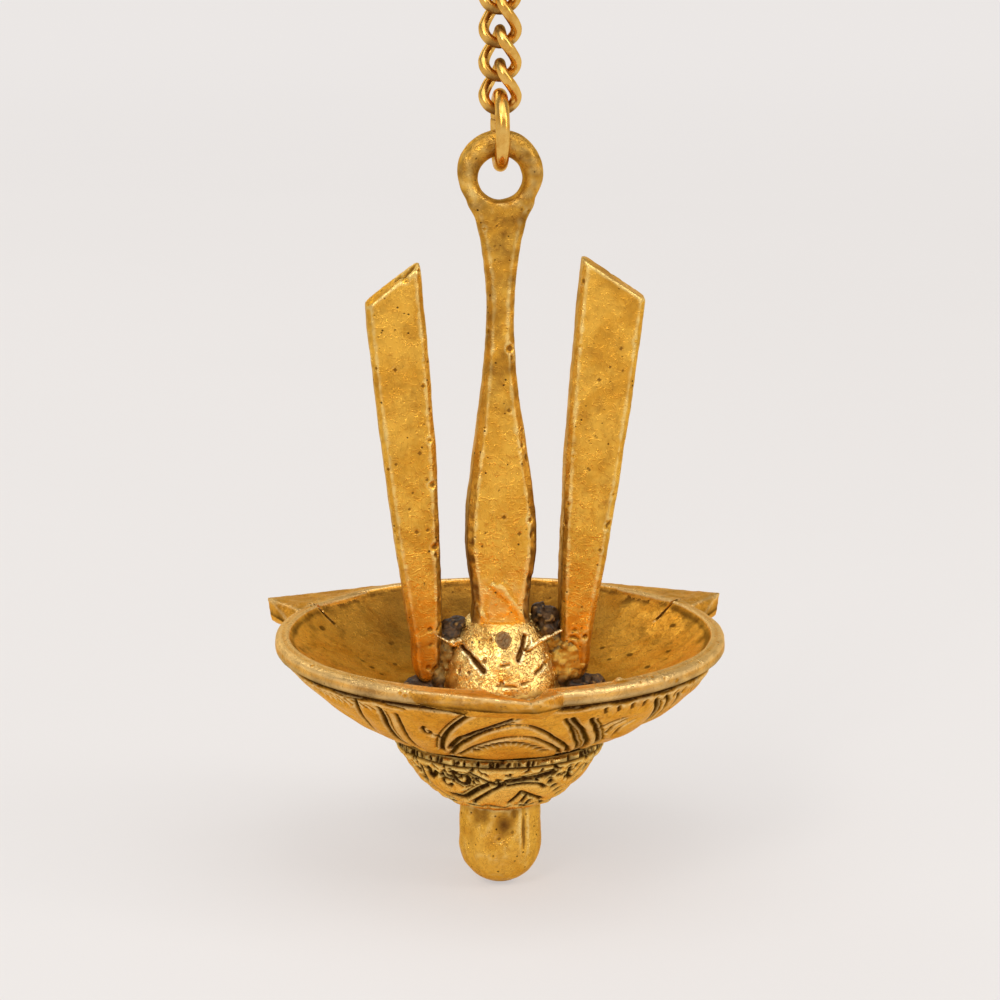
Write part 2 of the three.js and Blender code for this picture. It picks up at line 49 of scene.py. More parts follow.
# Height of the lamp's own zero, the tip of the finial, in the row frame, in mm
LAMP_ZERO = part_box("finial_knob")[0].z / MM

# Sizes of the lamp in mm, heights from the finial's tip
FINIAL_TOP = 15.9
CUP_BOTTOM = 16.2
CUP_TOP = 28.2
BOWL_BOTTOM = 28.5
RIM_TOP = 46.6
BAND_BOTTOM = 43.6
BOWL_FLOOR = 35.8
BOSS_BOTTOM = 36.1
BOSS_TOP = 49.1
RIVET_HEIGHT = 46.7
STEM_FOOT = 49.4
EYE_HOLE = 127.2
EYE_CENTRE = 128.1
BAR_FOOT = 38.0
RIM_RADIUS = 40.0
RIM_INNER = 37.3
BAND_STEP = 0.9
CUP_RADIUS = 18.9
CUP_RIM = 1.4
STUD_HOLE = 2.8
SOCKET_TOP = 32.5
SOCKET_RADIUS = 16.2
STEM_BLADE = 72.6
BELLY_HEIGHT = 14.8
NECK_HEIGHT = 55.5
EYE_INNER = 3.8
EYE_OUTER = 7.4
EYE_HALF_DEPTH = 2.4
RING_SIZE = 14.4
RING_WIRE = 2.5
LINK_LENGTH = 10.0
LINK_WIDTH = 7.8
LINK_WIRE = 2.0
FRONT_SPOUT = -88.0
SIDE_SPOUTS = (28.0, -212.0)
HANDS = {-1: "left", 1: "right"}


# Small helpers

def bezier(points, steps):
    p = [np.array(q, float) for q in points]
    t = np.linspace(0, 1, steps + 1)[:, None]
    return (1 - t) ** 3 * p[0] + 3 * (1 - t) ** 2 * t * p[1] + 3 * (1 - t) * t ** 2 * p[2] + t ** 3 * p[3]


def arc_lengths(points):
    return np.concatenate([[0], np.cumsum(np.linalg.norm(np.diff(points, axis=0), axis=1))])


def respaced(points, spacing):
    """The same line with points an even distance apart."""
    points = np.asarray(points, float)
    s = arc_lengths(points)
    count = max(2, int(round(s[-1] / spacing)) + 1)
    at = np.linspace(0, s[-1], count)
    return np.stack([np.interp(at, s, points[:, i]) for i in range(points.shape[1])], 1)


def noise_at(points, size, offset=0.0):
    """Smooth noise from about -1 to 1, with bumps of about that size in mm."""
    shift = Vector((offset, 2.3 * offset, 5.1 * offset))
    return np.array([noise.noise(Vector(p) / size + shift) for p in points])


def smoothstep(low, high, x):
    t = np.clip((x - low) / (high - low), 0, 1)
    return t * t * (3 - 2 * t)


def peak(x):
    """1 where x is 0, falling smoothly to both sides."""
    return np.exp(-(x ** 2))


def turn_between(angle, other):
    """The turn in degrees from the other angle, between -180 and 180."""
    return (angle - other + 180) % 360 - 180


def polar(points):
    """The angle in degrees and the radius of each point round the Z axis."""
    return np.degrees(np.arctan2(points[:, 1], points[:, 0])), np.hypot(points[:, 0], points[:, 1])


def off_segment(points, a, b):
    """For each point, what leads to it from the nearest point of the line from a to b."""
    a, along = np.array(a), np.array(b) - np.array(a)
    flat = points - a
    share = np.clip(flat @ along / (along @ along), 0, 1)
    return flat - share[:, None] * along


def coordinates(mesh, field="co"):
    flat = np.empty(len(mesh.vertices) * 3)
    mesh.vertices.foreach_get(field, flat)
    return flat.reshape(-1, 3)


def normals(mesh):
    return coordinates(mesh, "normal")


def set_coordinates(mesh, points):
    mesh.vertices.foreach_set("co", np.asarray(points, float).ravel())
    mesh.update()


def push(mesh, distance):
    """Moves each vertex that many mm out along its normal."""
    set_coordinates(mesh, coordinates(mesh) + normals(mesh) * distance[:, None])


def mesh_from(name, points, faces):
    mesh = bpy.data.meshes.new(name)
    mesh.from_pydata([tuple(p) for p in points], [], faces)
    mesh.update()
    return mesh


def object_from(name, mesh):
    obj = bpy.data.objects.new(name, mesh)
    bpy.context.scene.collection.objects.link(obj)
    return obj


def applied(obj):
    """The object's mesh with its modifiers applied, in their place."""
    graph = bpy.context.evaluated_depsgraph_get()
    mesh = bpy.data.meshes.new_from_object(obj.evaluated_get(graph))
    obj.modifiers.clear()
    old = obj.data
    obj.data = mesh
    bpy.data.meshes.remove(old)
    return obj


def revolve(name, rings):
    """A closed skin over rings of points round the Z axis. A ring may have as many points as its
    neighbour, twice as many or half as many; one of a single point is a pole. The last ring joins
    the first unless both ends are poles."""
    starts = []
    points = []
    total = 0
    for ring in rings:
        starts.append(total)
        points.append(ring)
        total += len(ring)
    faces = []
    pairs = list(zip(range(len(rings) - 1), range(1, len(rings))))
    if len(rings[0]) > 1:
        pairs.append((len(rings) - 1, 0))
    for low, high in pairs:
        a, b = starts[low], starts[high]
        n, m = len(rings[low]), len(rings[high])
        if n == 1:
            faces += [(a, b + (i + 1) % m, b + i) for i in range(m)]
        elif m == 1:
            faces += [(a + i, a + (i + 1) % n, b) for i in range(n)]
        elif n == m:
            faces += [(a + i, a + (i + 1) % n, b + (i + 1) % n, b + i) for i in range(n)]
        elif n == 2 * m:
            for i in range(m):
                a0, a1, a2 = a + 2 * i, a + 2 * i + 1, a + (2 * i + 2) % n
                b0, b1 = b + i, b + (i + 1) % m
                faces += [(a0, a1, b0), (a1, b1, b0), (a1, a2, b1)]
        else:
            for i in range(n):
                a0, a1 = a + i, a + (i + 1) % n
                b0, b1, b2 = b + 2 * i, b + 2 * i + 1, b + (2 * i + 2) % m
                faces += [(a0, b1, b0), (a0, a1, b1), (a1, b2, b1)]
    return mesh_from(name, np.vstack(points), faces)


def clean(obj):
    """Faces point out and no vertex is doubled."""
    work = bmesh.new()
    work.from_mesh(obj.data)
    bmesh.ops.remove_doubles(work, verts=work.verts, dist=1e-5)
    bmesh.ops.recalc_face_normals(work, faces=work.faces)
    work.to_mesh(obj.data)
    work.free()
    return obj


def remeshed(obj, voxel, smoothing, factor=0.5):
    """Joins what overlaps in the object into one skin of even small faces, slightly rounded."""
    modifier = obj.modifiers.new("skin", "REMESH")
    modifier.mode = "VOXEL"
    modifier.voxel_size = voxel
    modifier.adaptivity = 0
    smooth = obj.modifiers.new("smooth", "SMOOTH")
    smooth.iterations = smoothing
    smooth.factor = factor
    return applied(obj)


def combined(obj, other, operation):
    modifier = obj.modifiers.new("combine", "BOOLEAN")
    modifier.operation = operation
    modifier.solver = "MANIFOLD"
    modifier.object = other
    applied(obj)
    bpy.data.objects.remove(other)
    return obj


def rough(mesh, amount, size, offset, inward=False):
    """Moves a skin in and out by smooth noise, as an uneven casting."""
    shift = noise_at(coordinates(mesh), size, offset) * amount
    if inward:
        shift = -np.abs(shift)
    push(mesh, shift)


def pits(mesh, count, seed, radius, depth, keep=None):
    """Small casting pits, each a round hollow at a random vertex."""
    random = np.random.default_rng(seed)
    points = coordinates(mesh)
    out = normals(mesh)
    choices = np.arange(len(points)) if keep is None else np.nonzero(keep(points, out))[0]
    moved = points.copy()
    for index in random.choice(choices, count):
        size = radius * random.uniform(0.5, 1.4)
        near = np.linalg.norm(points - points[index], axis=1)
        hit = near < size
        bowl = (1 - (near[hit] / size) ** 2) * depth * size / radius
        moved[hit] -= out[index] * bowl[:, None]
    set_coordinates(mesh, moved)


def edge_ends(mesh):
    edges = np.empty(len(mesh.edges) * 2, int)
    mesh.edges.foreach_get("vertices", edges)
    return edges[0::2], edges[1::2]


def neighbour_mean(mesh):
    """A function that averages a value of each vertex over its neighbours."""
    first, second = edge_ends(mesh)
    ends = np.concatenate([first, second])
    others = np.concatenate([second, first])
    size = len(mesh.vertices)
    number = np.maximum(np.bincount(ends, minlength=size), 1)

    def mean(values):
        if values.ndim == 1:
            return np.bincount(ends, values[others], size) / number
        return np.stack([np.bincount(ends, values[others, c], size) / number for c in range(3)], 1)

    return mean


def relax(mesh, weight, rounds):
    """Smooths the skin where the weight is above 0."""
    mean = neighbour_mean(mesh)
    points = coordinates(mesh)
    for _ in range(rounds):
        points += (mean(points) - points) * (0.6 * weight)[:, None]
    set_coordinates(mesh, points)


def wear_of(mesh):
    """How proud each vertex lies against its neighbours: above 0.5 on edges, below 0.5 in hollows."""
    points = coordinates(mesh)
    mean = neighbour_mean(mesh)
    first, second = edge_ends(mesh)
    length = np.linalg.norm(points[first] - points[second], axis=1).mean()
    value = np.einsum("ij,ij->i", points - mean(points), normals(mesh)) / length
    for _ in range(2):
        value = (value + mean(value)) / 2
    return np.clip(0.5 + value * 3.6, 0, 1)


def store(mesh, name, values):
    layer = mesh.attributes.new(name, "FLOAT", "POINT")
    layer.data.foreach_set("value", np.asarray(values, float))


def placed(obj, body, node, material, patina_and_shade=0.0, sharp=35, rubbed_and_highlit=0.0, lamp=True):
    """Finishes a piece built in mm: wear and painted highlights, patina and painted shade, place, shading,
    material, body and node.
    """
    mesh = obj.data
    # the wear value is raised where a piece is rubbed bright, and also where a highlight is painted on
    store(mesh, "wear_and_highlight", np.clip(wear_of(mesh) + rubbed_and_highlit, 0, 1))
    # the patina value holds real patina and also painted shade
    store(mesh, "patina_and_shade", np.clip(np.zeros(len(mesh.vertices)) + patina_and_shade, 0, 1))
    points = coordinates(mesh)
    if lamp:
        points[:, 2] += LAMP_ZERO
    set_coordinates(mesh, points * MM)
    mesh.shade_smooth()
    mesh.set_sharp_from_angle(angle=sharp * DEG)
    mesh.materials.clear()
    mesh.materials.append(material)
    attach(obj, body)
    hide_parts(node)


# Materials

class Nodes:
    """A short way to build a node material."""

    def __init__(self, name):
        self.material = bpy.data.materials.new(name)
        self.material.use_nodes = True
        self.tree = self.material.node_tree
        self.shader = self.tree.nodes["Principled BSDF"]
        self.output = self.tree.nodes["Material Output"]
        coordinates_node = self.tree.nodes.new("ShaderNodeTexCoord")
        self.place = coordinates_node.outputs["Object"]

    def link(self, source, target):
        self.tree.links.new(source, target)

    def node(self, kind, sockets=None, **values):
        """A node with these settings; each socket takes a number, a colour or a link."""
        made = self.tree.nodes.new(kind)
        for key, value in values.items():
            setattr(made, key, value)
        for socket, value in (sockets or {}).items():
            self.fill(made.inputs[socket], value)
        return made

    def fill(self, socket, value):
        if isinstance(value, bpy.types.NodeSocket):
            self.link(value, socket)
        else:
            socket.default_value = value

    def noise(self, size, detail=4.0, roughness=0.55, distortion=0.0, place=None):
        """Noise with bumps of about that size in mm."""
        return self.node("ShaderNodeTexNoise", {
            "Vector": place or self.place, "Scale": 1000.0 / size, "Detail": detail,
            "Roughness": roughness, "Distortion": distortion,
        }).outputs["Fac"]

    def stretched(self, scale, turn):
        sockets = {"Vector": self.place, "Scale": scale, "Rotation": turn}
        return self.node("ShaderNodeMapping", sockets).outputs["Vector"]

    def cells(self, size):
        """The distance from the middle of the nearest cell of about that size in mm."""
        sockets = {"Vector": self.place, "Scale": 1000.0 / size}
        return self.node("ShaderNodeTexVoronoi", sockets).outputs["Distance"]

    def ramp(self, source, low, high, start=0.0, end=1.0):
        sockets = {"Value": source, "From Min": low, "From Max": high, "To Min": start, "To Max": end}
        return self.node("ShaderNodeMapRange", sockets, interpolation_type="SMOOTHSTEP").outputs["Result"]

    def maths(self, operation, a, b=0.0, clamp=False):
        return self.node("ShaderNodeMath", {0: a, 1: b}, operation=operation, use_clamp=clamp).outputs[0]

    def times(self, a, b, clamp=False):
        return self.maths("MULTIPLY", a, b, clamp)

    def plus(self, a, b, clamp=False):
        return self.maths("ADD", a, b, clamp)

    def mixed(self, factor, a, b):
        made = self.node("ShaderNodeMix", data_type="RGBA")
        for name, kind, value in (("Factor", "VALUE", factor), ("A", "RGBA", a), ("B", "RGBA", b)):
            socket = next(s for s in made.inputs if s.name == name and s.type == kind)
            self.fill(socket, (*value, 1) if isinstance(value, tuple) else value)
        return next(s for s in made.outputs if s.type == "RGBA")

    def attribute(self, name):
        return self.node("ShaderNodeAttribute", attribute_name=name).outputs["Fac"]

    def bump(self, height, strength, distance, normal=None, invert=False):
        sockets = {"Height": height, "Strength": strength, "Distance": distance * MM}
        if normal is not None:
            sockets["Normal"] = normal
        return self.node("ShaderNodeBump", sockets, invert=invert).outputs["Normal"]


def scaled(colour, factors):
    return tuple(c * f for c, f in zip(colour, factors))


GOLD = (0.90, 0.485, 0.066)
WARM = (0.76, 0.365, 0.038)
BRIGHT = (1.0, 0.71, 0.24)
BROWN = (0.16, 0.064, 0.012)
BLACK = (0.020, 0.013, 0.008)
# Reflections at grazing angles keep the colour of the metal
EDGE_TINT = (1.0, 0.80, 0.45, 1)


def cast_brass(name, light=GOLD, deep=WARM, edge=BRIGHT, dark=BROWN, roughness=0.3, mottle=0.55,
               pit_amount=1.0, bump=1.0):
    """Antique cast brass: two golds in soft patches, rubbed edges and painted highlights, brown hollows and
    painted shade, pits and scratches.
    """
    n = Nodes(name)
    patches = n.ramp(n.noise(7.0, 5, 0.6, 0.6), 0.35, 0.68)
    fine = n.noise(1.1, 6, 0.62, 1.2)
    patch = n.plus(n.times(patches, 0.45), n.times(fine, 0.55))
    colour = n.mixed(n.ramp(patch, 0.3, 0.75), light, deep)

    stains = n.ramp(n.noise(3.2, 8, 0.72, 1.1), 0.50, 0.70, 0, mottle)
    colour = n.mixed(stains, colour, scaled(dark, (2.4, 2.4, 2.2)))
    specks = n.ramp(n.noise(0.75, 5, 0.65, 1.6), 0.58, 0.72, 0, mottle * 0.8)
    colour = n.mixed(specks, colour, scaled(dark, (2.2, 2.0, 1.6)))

    # the wear value brightens rubbed edges and every painted highlight with the edge colour
    wear_and_highlight = n.attribute("wear_and_highlight")
    rubbed_and_highlit = n.ramp(n.plus(wear_and_highlight, n.times(fine, 0.10)), 0.60, 0.86)
    colour = n.mixed(n.times(rubbed_and_highlit, 0.85), colour, edge)
    hollow = n.ramp(n.maths("SUBTRACT", wear_and_highlight, n.times(fine, 0.10)), 0.42, 0.22)
    # the patina value darkens real patina and every painted shade with the dark colour
    grime_and_shade = n.maths("MAXIMUM", n.times(hollow, 0.75), n.attribute("patina_and_shade"))
    grime_and_shade = n.times(grime_and_shade, n.ramp(fine, 0.2, 0.5, 0.7, 1.0), clamp=True)
    colour = n.mixed(grime_and_shade, colour, dark)

    chosen = n.ramp(n.noise(2.4, 3), 0.52, 0.60)
    holes = n.times(n.ramp(n.cells(1.25), 0.20, 0.09), chosen)
    holes = n.times(holes, pit_amount, clamp=True)
    colour = n.mixed(n.times(holes, 0.85), colour, BLACK)
    lines = n.noise(1.9, 2, 0.45, 1.6)
    lines = n.ramp(n.maths("ABSOLUTE", n.maths("SUBTRACT", lines, 0.5)), 0.0, 0.045, 1.0, 0.0)
    colour = n.mixed(n.times(lines, 0.20), colour, scaled(dark, (2.0, 1.8, 1.4)))
    n.link(colour, n.shader.inputs["Base Color"])
    n.shader.inputs["Metallic"].default_value = 1.0
    n.shader.inputs["Specular Tint"].default_value = EDGE_TINT

    shine = n.ramp(n.noise(2.0, 6, 0.7), 0.3, 0.75, roughness - 0.09, roughness + 0.14)
    shine = n.plus(shine, n.times(grime_and_shade, 0.28))
    shine = n.plus(shine, n.times(holes, 0.3), clamp=True)
    n.link(shine, n.shader.inputs["Roughness"])

    hammered = n.noise(2.8, 3, 0.5, 0.4)
    worms = n.noise(1.05, 3, 0.5, 2.4)
    sand = n.noise(0.16, 4, 0.6)
    scratch = n.noise(0.9, 4, 0.6, 0.3, n.stretched((9, 9, 0.5), (0.35, 0.2, 0)))
    height = n.bump(hammered, 0.26 * bump, 0.35)
    height = n.bump(worms, 0.6 * bump, 0.16, height)
    height = n.bump(lines, 0.6 * bump, 0.08, height)
    height = n.bump(scratch, 0.35 * bump, 0.03, height)
    height = n.bump(sand, 0.4 * bump, 0.015, height)
    n.link(n.bump(holes, 0.8, 0.15, height, invert=True), n.shader.inputs["Normal"])
    return n.material


def sooty_metal(name):
    """Rough braze metal: black soot and ash over brown metal that glints on its high points, and
    bare brass where the patina value is high."""
    n = Nodes(name)
    clumps = n.noise(1.7, 8, 0.7, 0.8)
    colour = n.mixed(n.ramp(clumps, 0.40, 0.62), (0.016, 0.009, 0.004), (0.12, 0.060, 0.020))
    ash = n.ramp(n.noise(1.1, 6, 0.7), 0.60, 0.70)
    colour = n.mixed(n.times(ash, 0.45), colour, (0.22, 0.17, 0.11))
    glint = n.ramp(n.plus(n.attribute("wear_and_highlight"), n.times(clumps, 0.2)), 1.0, 1.22)
    bare = n.times(n.attribute("patina_and_shade"), n.ramp(clumps, 0.36, 0.50, 0.25, 1.0), clamp=True)
    colour = n.mixed(bare, colour, (0.66, 0.40, 0.075))
    colour = n.mixed(glint, colour, (0.46, 0.26, 0.08))
    n.link(colour, n.shader.inputs["Base Color"])
    n.link(n.ramp(n.maths("MAXIMUM", glint, bare), 0, 1, 0.35, 1.0), n.shader.inputs["Metallic"])
    n.link(n.ramp(clumps, 0.3, 0.7, 0.36, 0.7), n.shader.inputs["Roughness"])
    height = n.bump(clumps, 0.8, 0.3)
    height = n.bump(n.noise(0.4, 4, 0.6), 0.6, 0.08, height)
    n.link(height, n.shader.inputs["Normal"])
    return n.material


def wire_brass(name):
    """Polished golden wire with drawn lines along it, small knocks and darker places where links rub."""
    n = Nodes(name)
    tone = n.noise(2.4, 5, 0.6, 0.5)
    colour = n.mixed(n.ramp(tone, 0.35, 0.7), (0.84, 0.51, 0.13), (0.66, 0.33, 0.055))
    patina_and_shade = n.attribute("patina_and_shade")
    dirt = n.times(patina_and_shade, n.ramp(n.noise(0.9, 5, 0.65), 0.25, 0.6, 0.55, 1.0))
    colour = n.mixed(dirt, colour, (0.20, 0.09, 0.02))
    n.link(colour, n.shader.inputs["Base Color"])
    n.shader.inputs["Metallic"].default_value = 1.0
    n.shader.inputs["Specular Tint"].default_value = EDGE_TINT
    shine = n.plus(n.ramp(tone, 0.3, 0.7, 0.16, 0.3), n.times(dirt, 0.25))
    n.link(shine, n.shader.inputs["Roughness"])
    height = n.bump(n.noise(1.3, 3, 0.5), 0.35, 0.12)
    height = n.bump(n.noise(0.25, 3, 0.6), 0.3, 0.015, height)
    n.link(height, n.shader.inputs["Normal"])
    return n.material


aged = cast_brass("aged_cast_brass", mottle=0.45)
uprights = cast_brass("upright_brass", mottle=0.27, roughness=0.31)
bowl_metal = cast_brass("bowl_brass", light=(0.93, 0.455, 0.062), deep=(0.78, 0.33, 0.034),
                        edge=(1.0, 0.68, 0.28), dark=(0.062, 0.022, 0.005), mottle=0.38,
                        roughness=0.33, pit_amount=0.6)
carved_metal = cast_brass("carved_cup_brass", light=(1.0, 0.545, 0.105), deep=(0.94, 0.43, 0.055),
                          dark=(0.040, 0.015, 0.004), roughness=0.24, mottle=0.16, pit_amount=0.3)
filed = cast_brass("filed_boss_brass", light=(0.97, 0.68, 0.23), deep=(0.80, 0.46, 0.09),
                   edge=(1.0, 0.82, 0.44), roughness=0.22, mottle=0.55, bump=1.5)
soot = sooty_metal("sooty_braze_metal")
rivet_metal = cast_brass("dark_rivet_metal", light=(0.24, 0.155, 0.075), deep=(0.12, 0.070, 0.030),
                         edge=(0.42, 0.28, 0.12), roughness=0.5, mottle=0.9, bump=2.0)
golden_wire = wire_brass("golden_wire")


# Carving

def stroke_distance(theta, s, radius, strokes):
    """Distance in mm from each point of a turned surface to the nearest of these carved lines, and
    the carved depth there. A stroke is (width, depth, [(degrees, mm along the profile), ...])."""
    nearest = np.full(len(theta), 99.0)
    depth = np.zeros(len(theta))
    for width, deep, line in strokes:
        reach = max(3.0, 4 * width)
        points = line if len(line) > 1 else [line[0], line[0]]
        for (t0, s0), (t1, s1) in zip(points[:-1], points[1:]):
            away = np.abs(turn_between(theta, (t0 + t1) / 2))
            span = abs(t1 - t0) / 2 + reach / 12.0 / DEG * 0.9
            window = np.nonzero((away < span) & (s > min(s0, s1) - reach) & (s < max(s0, s1) + reach))[0]
            if len(window) == 0:
                continue
            across = radius[window] * DEG
            ax = turn_between(t0, theta[window]) * across
            ay = s0 - s[window]
            bx = ax + (t1 - t0) * across
            by = s1 - s[window]
            dx, dy = bx - ax, by - ay
            size = np.maximum(dx * dx + dy * dy, 1e-9)
            t = np.clip(-(ax * dx + ay * dy) / size, 0, 1)
            d = np.hypot(ax + t * dx, ay + t * dy)
            nearest[window] = np.minimum(nearest[window], np.maximum(d - width / 2, 0))
            depth[window] = np.maximum(depth[window], deep * peak(d / width))
    return nearest, depth


def spline(points, steps):
    """Points of a smooth curve through all of these but the first and the last."""
    p = np.asarray(points, float)
    out = []
    for a, b, c, d in zip(p[:-3], p[1:-2], p[2:-1], p[3:]):
        for t in np.arange(steps) / steps:
            out.append(0.5 * (2 * b + (c - a) * t + (2 * a - 5 * b + 4 * c - d) * t * t
                              + (3 * b - a - 3 * c + d) * t ** 3))
    return np.array(out + [p[-2]])


def smooth_line(line):
    """A curve through the points of a stroke."""
    return line if len(line) < 3 else spline([line[0], *line, line[-1]], 5)


def beside(line, away, radius_at):
    """A dashed line of short cuts that runs that many mm beside a stroke."""
    dash, gap = 0.8, 0.4
    points = np.array(smooth_line(line))
    across = radius_at(points[:, 1]) * DEG
    flat = np.column_stack([(points[:, 0] - points[0, 0]) * across, points[:, 1]])
    along = np.gradient(flat, axis=0)
    along /= np.maximum(np.linalg.norm(along, axis=1), 1e-9)[:, None]
    moved = np.column_stack([
        points[:, 0] - away * along[:, 1] / across, points[:, 1] + away * along[:, 0]
    ])
    s = arc_lengths(flat)
    cuts = []
    start = dash
    while start + dash < s[-1] - dash:
        cuts.append([tuple(np.interp(at, s, moved[:, c]) for c in (0, 1)) for at in (start, start + dash)])
        start += dash + gap
    return cuts


def repeated(strokes, turns):
    return [(w, d, smooth_line([(t + turn, s) for t, s in line])) for turn in turns for w, d, line in strokes]


# Lines carved in the bowl's underside: (width, depth, [(degrees round, mm up from the foot), ...])
BOWL_PANEL = [
    (0.36, 0.42, [(-135.5, 23.4), (-138.0, 20.0), (-142.5, 14.5), (-148, 8), (-152, 1)]),
    (0.42, 0.48, [(-128.0, 22.8), (-129.6, 19), (-133.0, 13.6), (-138.0, 7.4), (-142.5, 1)]),
    (0.34, 0.36, [(-123.6, 21.4), (-125.4, 16.5), (-129.4, 9.6), (-133.5, 3.2)]),
    (0.34, 0.36, [(-117.0, 17.8), (-118.4, 16.6), (-118.2, 15.0), (-116.6, 15.0), (-116.4, 16.4)]),
    (0.40, 0.40, [(-115.2, 14.6), (-114.0, 13.0)]),
    (0.40, 0.48, [(-118.5, 6.4), (-113, 13.6), (-109, 17.8), (-105.3, 21.1), (-101.4, 24.2)]),
    (0.46, 0.55, [(-113.4, 8.6), (-107.6, 14.1), (-104, 15.9), (-100.6, 17.7), (-94.9, 20.4), (-89.4, 22.9)]),
    (0.38, 0.46, [(-119, 2), (-114, 6), (-109.5, 10.2), (-105, 13.4), (-100.8, 16.2), (-94.8, 19.0),
                  (-88.8, 20.0), (-82.5, 17.8), (-75, 12.6), (-67, 7.2), (-59, 1)]),
    (0.36, 0.44, [(-114, 3), (-108, 7.4), (-101.8, 11.5), (-95, 14.4), (-90.2, 15.4), (-84.5, 14.8),
                  (-76.7, 10.6), (-69, 5.4), (-63.5, 1)]),
    (0.32, 0.36, [(-76.7, 21.2), (-74.0, 18.4), (-69.0, 12.8), (-62.0, 7), (-55, 1.4)]),
    (0.42, 0.46, [(-74.7, 21.2), (-71.0, 18.0), (-65.2, 12.8), (-58.0, 7), (-51.5, 1.4)]),
    (0.40, 0.44, [(-68.5, 20.4), (-64.0, 16), (-58.0, 11), (-50, 5.4), (-44.5, 1)]),
    (0.36, 0.42, [(-62.6, 14.8), (-60.6, 17.4), (-56.4, 18.6)]),
    (0.36, 0.42, [(-57.0, 13.0), (-57.4, 16.0), (-54.6, 17.8)]),
    (0.36, 0.42, [(-51.4, 11.6), (-52.8, 14.6), (-50.2, 17.0)]),
    (0.42, 0.50, [(-47.8, 22.4), (-42.8, 18.2), (-37.6, 13.4), (-34.0, 8.4), (-33.5, 2)]),
    (0.34, 0.40, [(-43.8, 22.8), (-38.4, 18.8), (-33.2, 14.0), (-29.6, 8.4), (-29.5, 2)]),
    (0.34, 0.40, [(-38.4, 22.6), (-33.4, 19.2), (-28.6, 15.6)]),
    (0.30, 0.34, [(-150 + 3 * k, 24.15 + 0.4 * math.sin(1.1 * k)) for k in range(11)]),
    (0.30, 0.36, [(-86.5 + 3 * k, 24.5 + 0.35 * math.sin(1.3 * k)) for k in range(19)]),
]
BOWL_BEADS = [(-103.4, 8.6), (-101.2, 10.0), (-98.8, 11.0), (-96.4, 11.9), (-94.2, 12.5), (-92.0, 12.9),
              (-89.6, 12.9), (-87.4, 12.5), (-85.2, 11.6), (-82.8, 10.6), (-80.2, 9.3), (-77.6, 7.8)]
BOWL_NICKS = [(-150 + 2.6 * k, 23.2 - 0.05 * k) for k in range(8)]
BOWL_NICKS += [(-66 + 4.2 * k, 23.4) for k in range(9)]
BOWL_STROKES = (
    [(0.96 * width, 1.25 * deep, line) for width, deep, line in BOWL_PANEL]
    + [(0.60, 0.55, [bead]) for bead in BOWL_BEADS]
    + [(0.30, 0.32, [(t, s), (t + 0.9, s - 1.3)]) for t, s in BOWL_NICKS]
)

# Lines carved in the cup, in the same way
CUP_PANEL = [
    (0.36, 0.42, [(-111.7, 13.7), (-108.1, 12.9), (-103, 11.9), (-98.7, 10.9), (-94, 11.1), (-90.2, 11.7)]),
    (0.60, 0.60, [(-90.2, 11.7), (-80.8, 12.1), (-69.9, 12.7), (-62.5, 13.0)]),
    (0.52, 0.60, [(-102.8, 10.6), (-109.1, 9.2), (-116.2, 7.4), (-122.7, 6.2), (-132.7, 6.4)]),
    (0.40, 0.52, [(-91.8, 10.7), (-99.1, 9.1), (-106.4, 7.2), (-115.3, 4.9)]),
    (0.34, 0.44, [(-89.5, 10.4), (-80.4, 10.9), (-70.1, 10.4), (-63.5, 9.1)]),
    (0.36, 0.50, [(-79.8, 8.6), (-82.8, 6.8), (-87, 4.9)]),
    (0.36, 0.50, [(-79.8, 8.6), (-69.4, 6.6), (-58, 4.6)]),
    (0.34, 0.46, [(-75.2, 7.0), (-77.0, 4.6)]),
    (0.34, 0.46, [(-70.5, 5.2), (-71.5, 3.9)]),
    (0.55, 0.60, [(-61.5, 10.6)]),
    (0.55, 0.60, [(-56.5, 9.1)]),
    (0.55, 0.60, [(-50.5, 7.5)]),
    (0.55, 0.60, [(-43.5, 6.0)]),
    (0.50, 0.62, [(-139, 13.2), (-141, 11.8), (-142.4, 10.7)]),
    (0.44, 0.60, [(-134.2, 12.6), (-138.5, 11.4), (-142.4, 10.7)]),
    (0.46, 0.56, [(-121.5, 13.4), (-118.4, 12.9), (-114.8, 12.8), (-113.4, 11.8), (-115.6, 10.5),
                  (-119.5, 10.6), (-122.6, 11.6), (-126.2, 12.4)]),
    (0.34, 0.44, [(-128, 11.4), (-131.6, 11.0), (-132.6, 9.8), (-129.5, 9.2), (-126.8, 9.9)]),
    (0.34, 0.44, [(-146.5, 13.2), (-149.5, 10.6), (-149.2, 8.2), (-144, 5.8), (-137, 4.8)]),
    (0.40, 0.52, [(-50.5, 13.2), (-48.4, 11.4), (-44.6, 10.2), (-41.0, 11.0), (-39.6, 13.0)]),
    (0.50, 0.52, [(-35.6, 9.2)]),
    (0.50, 0.52, [(-31.6, 12.0)]),
    (0.34, 0.44, [(-37.6, 5.0), (-34.8, 7.6), (-31.5, 10.0)]),
]
CUP_STROKES = CUP_PANEL + [
    (0.34, 0.40, [(-130 + 20 * k, 2.2), (-125 + 20 * k, 3.4), (-120 + 20 * k, 3.5), (-115 + 20 * k, 3.1),
                  (-110 + 20 * k, 2.2)])
    for k in range(-1, 5)
]
THIRDS = (0, 120, 240)


def with_dashes(strokes, profile, longest):
    """The strokes, and beside each long one the carver's fine second cut."""
    s = arc_lengths(profile)

    def radius_at(up):
        return np.interp(up, s, profile[:, 0])

    fine = []
    for index, (width, _, line) in enumerate(strokes):
        if len(line) > 3 and width > longest:
            away = 0.95 if index % 2 else -0.95
            fine += [(0.20, 0.26, cut) for cut in beside(line, away, radius_at)]
    return strokes + fine


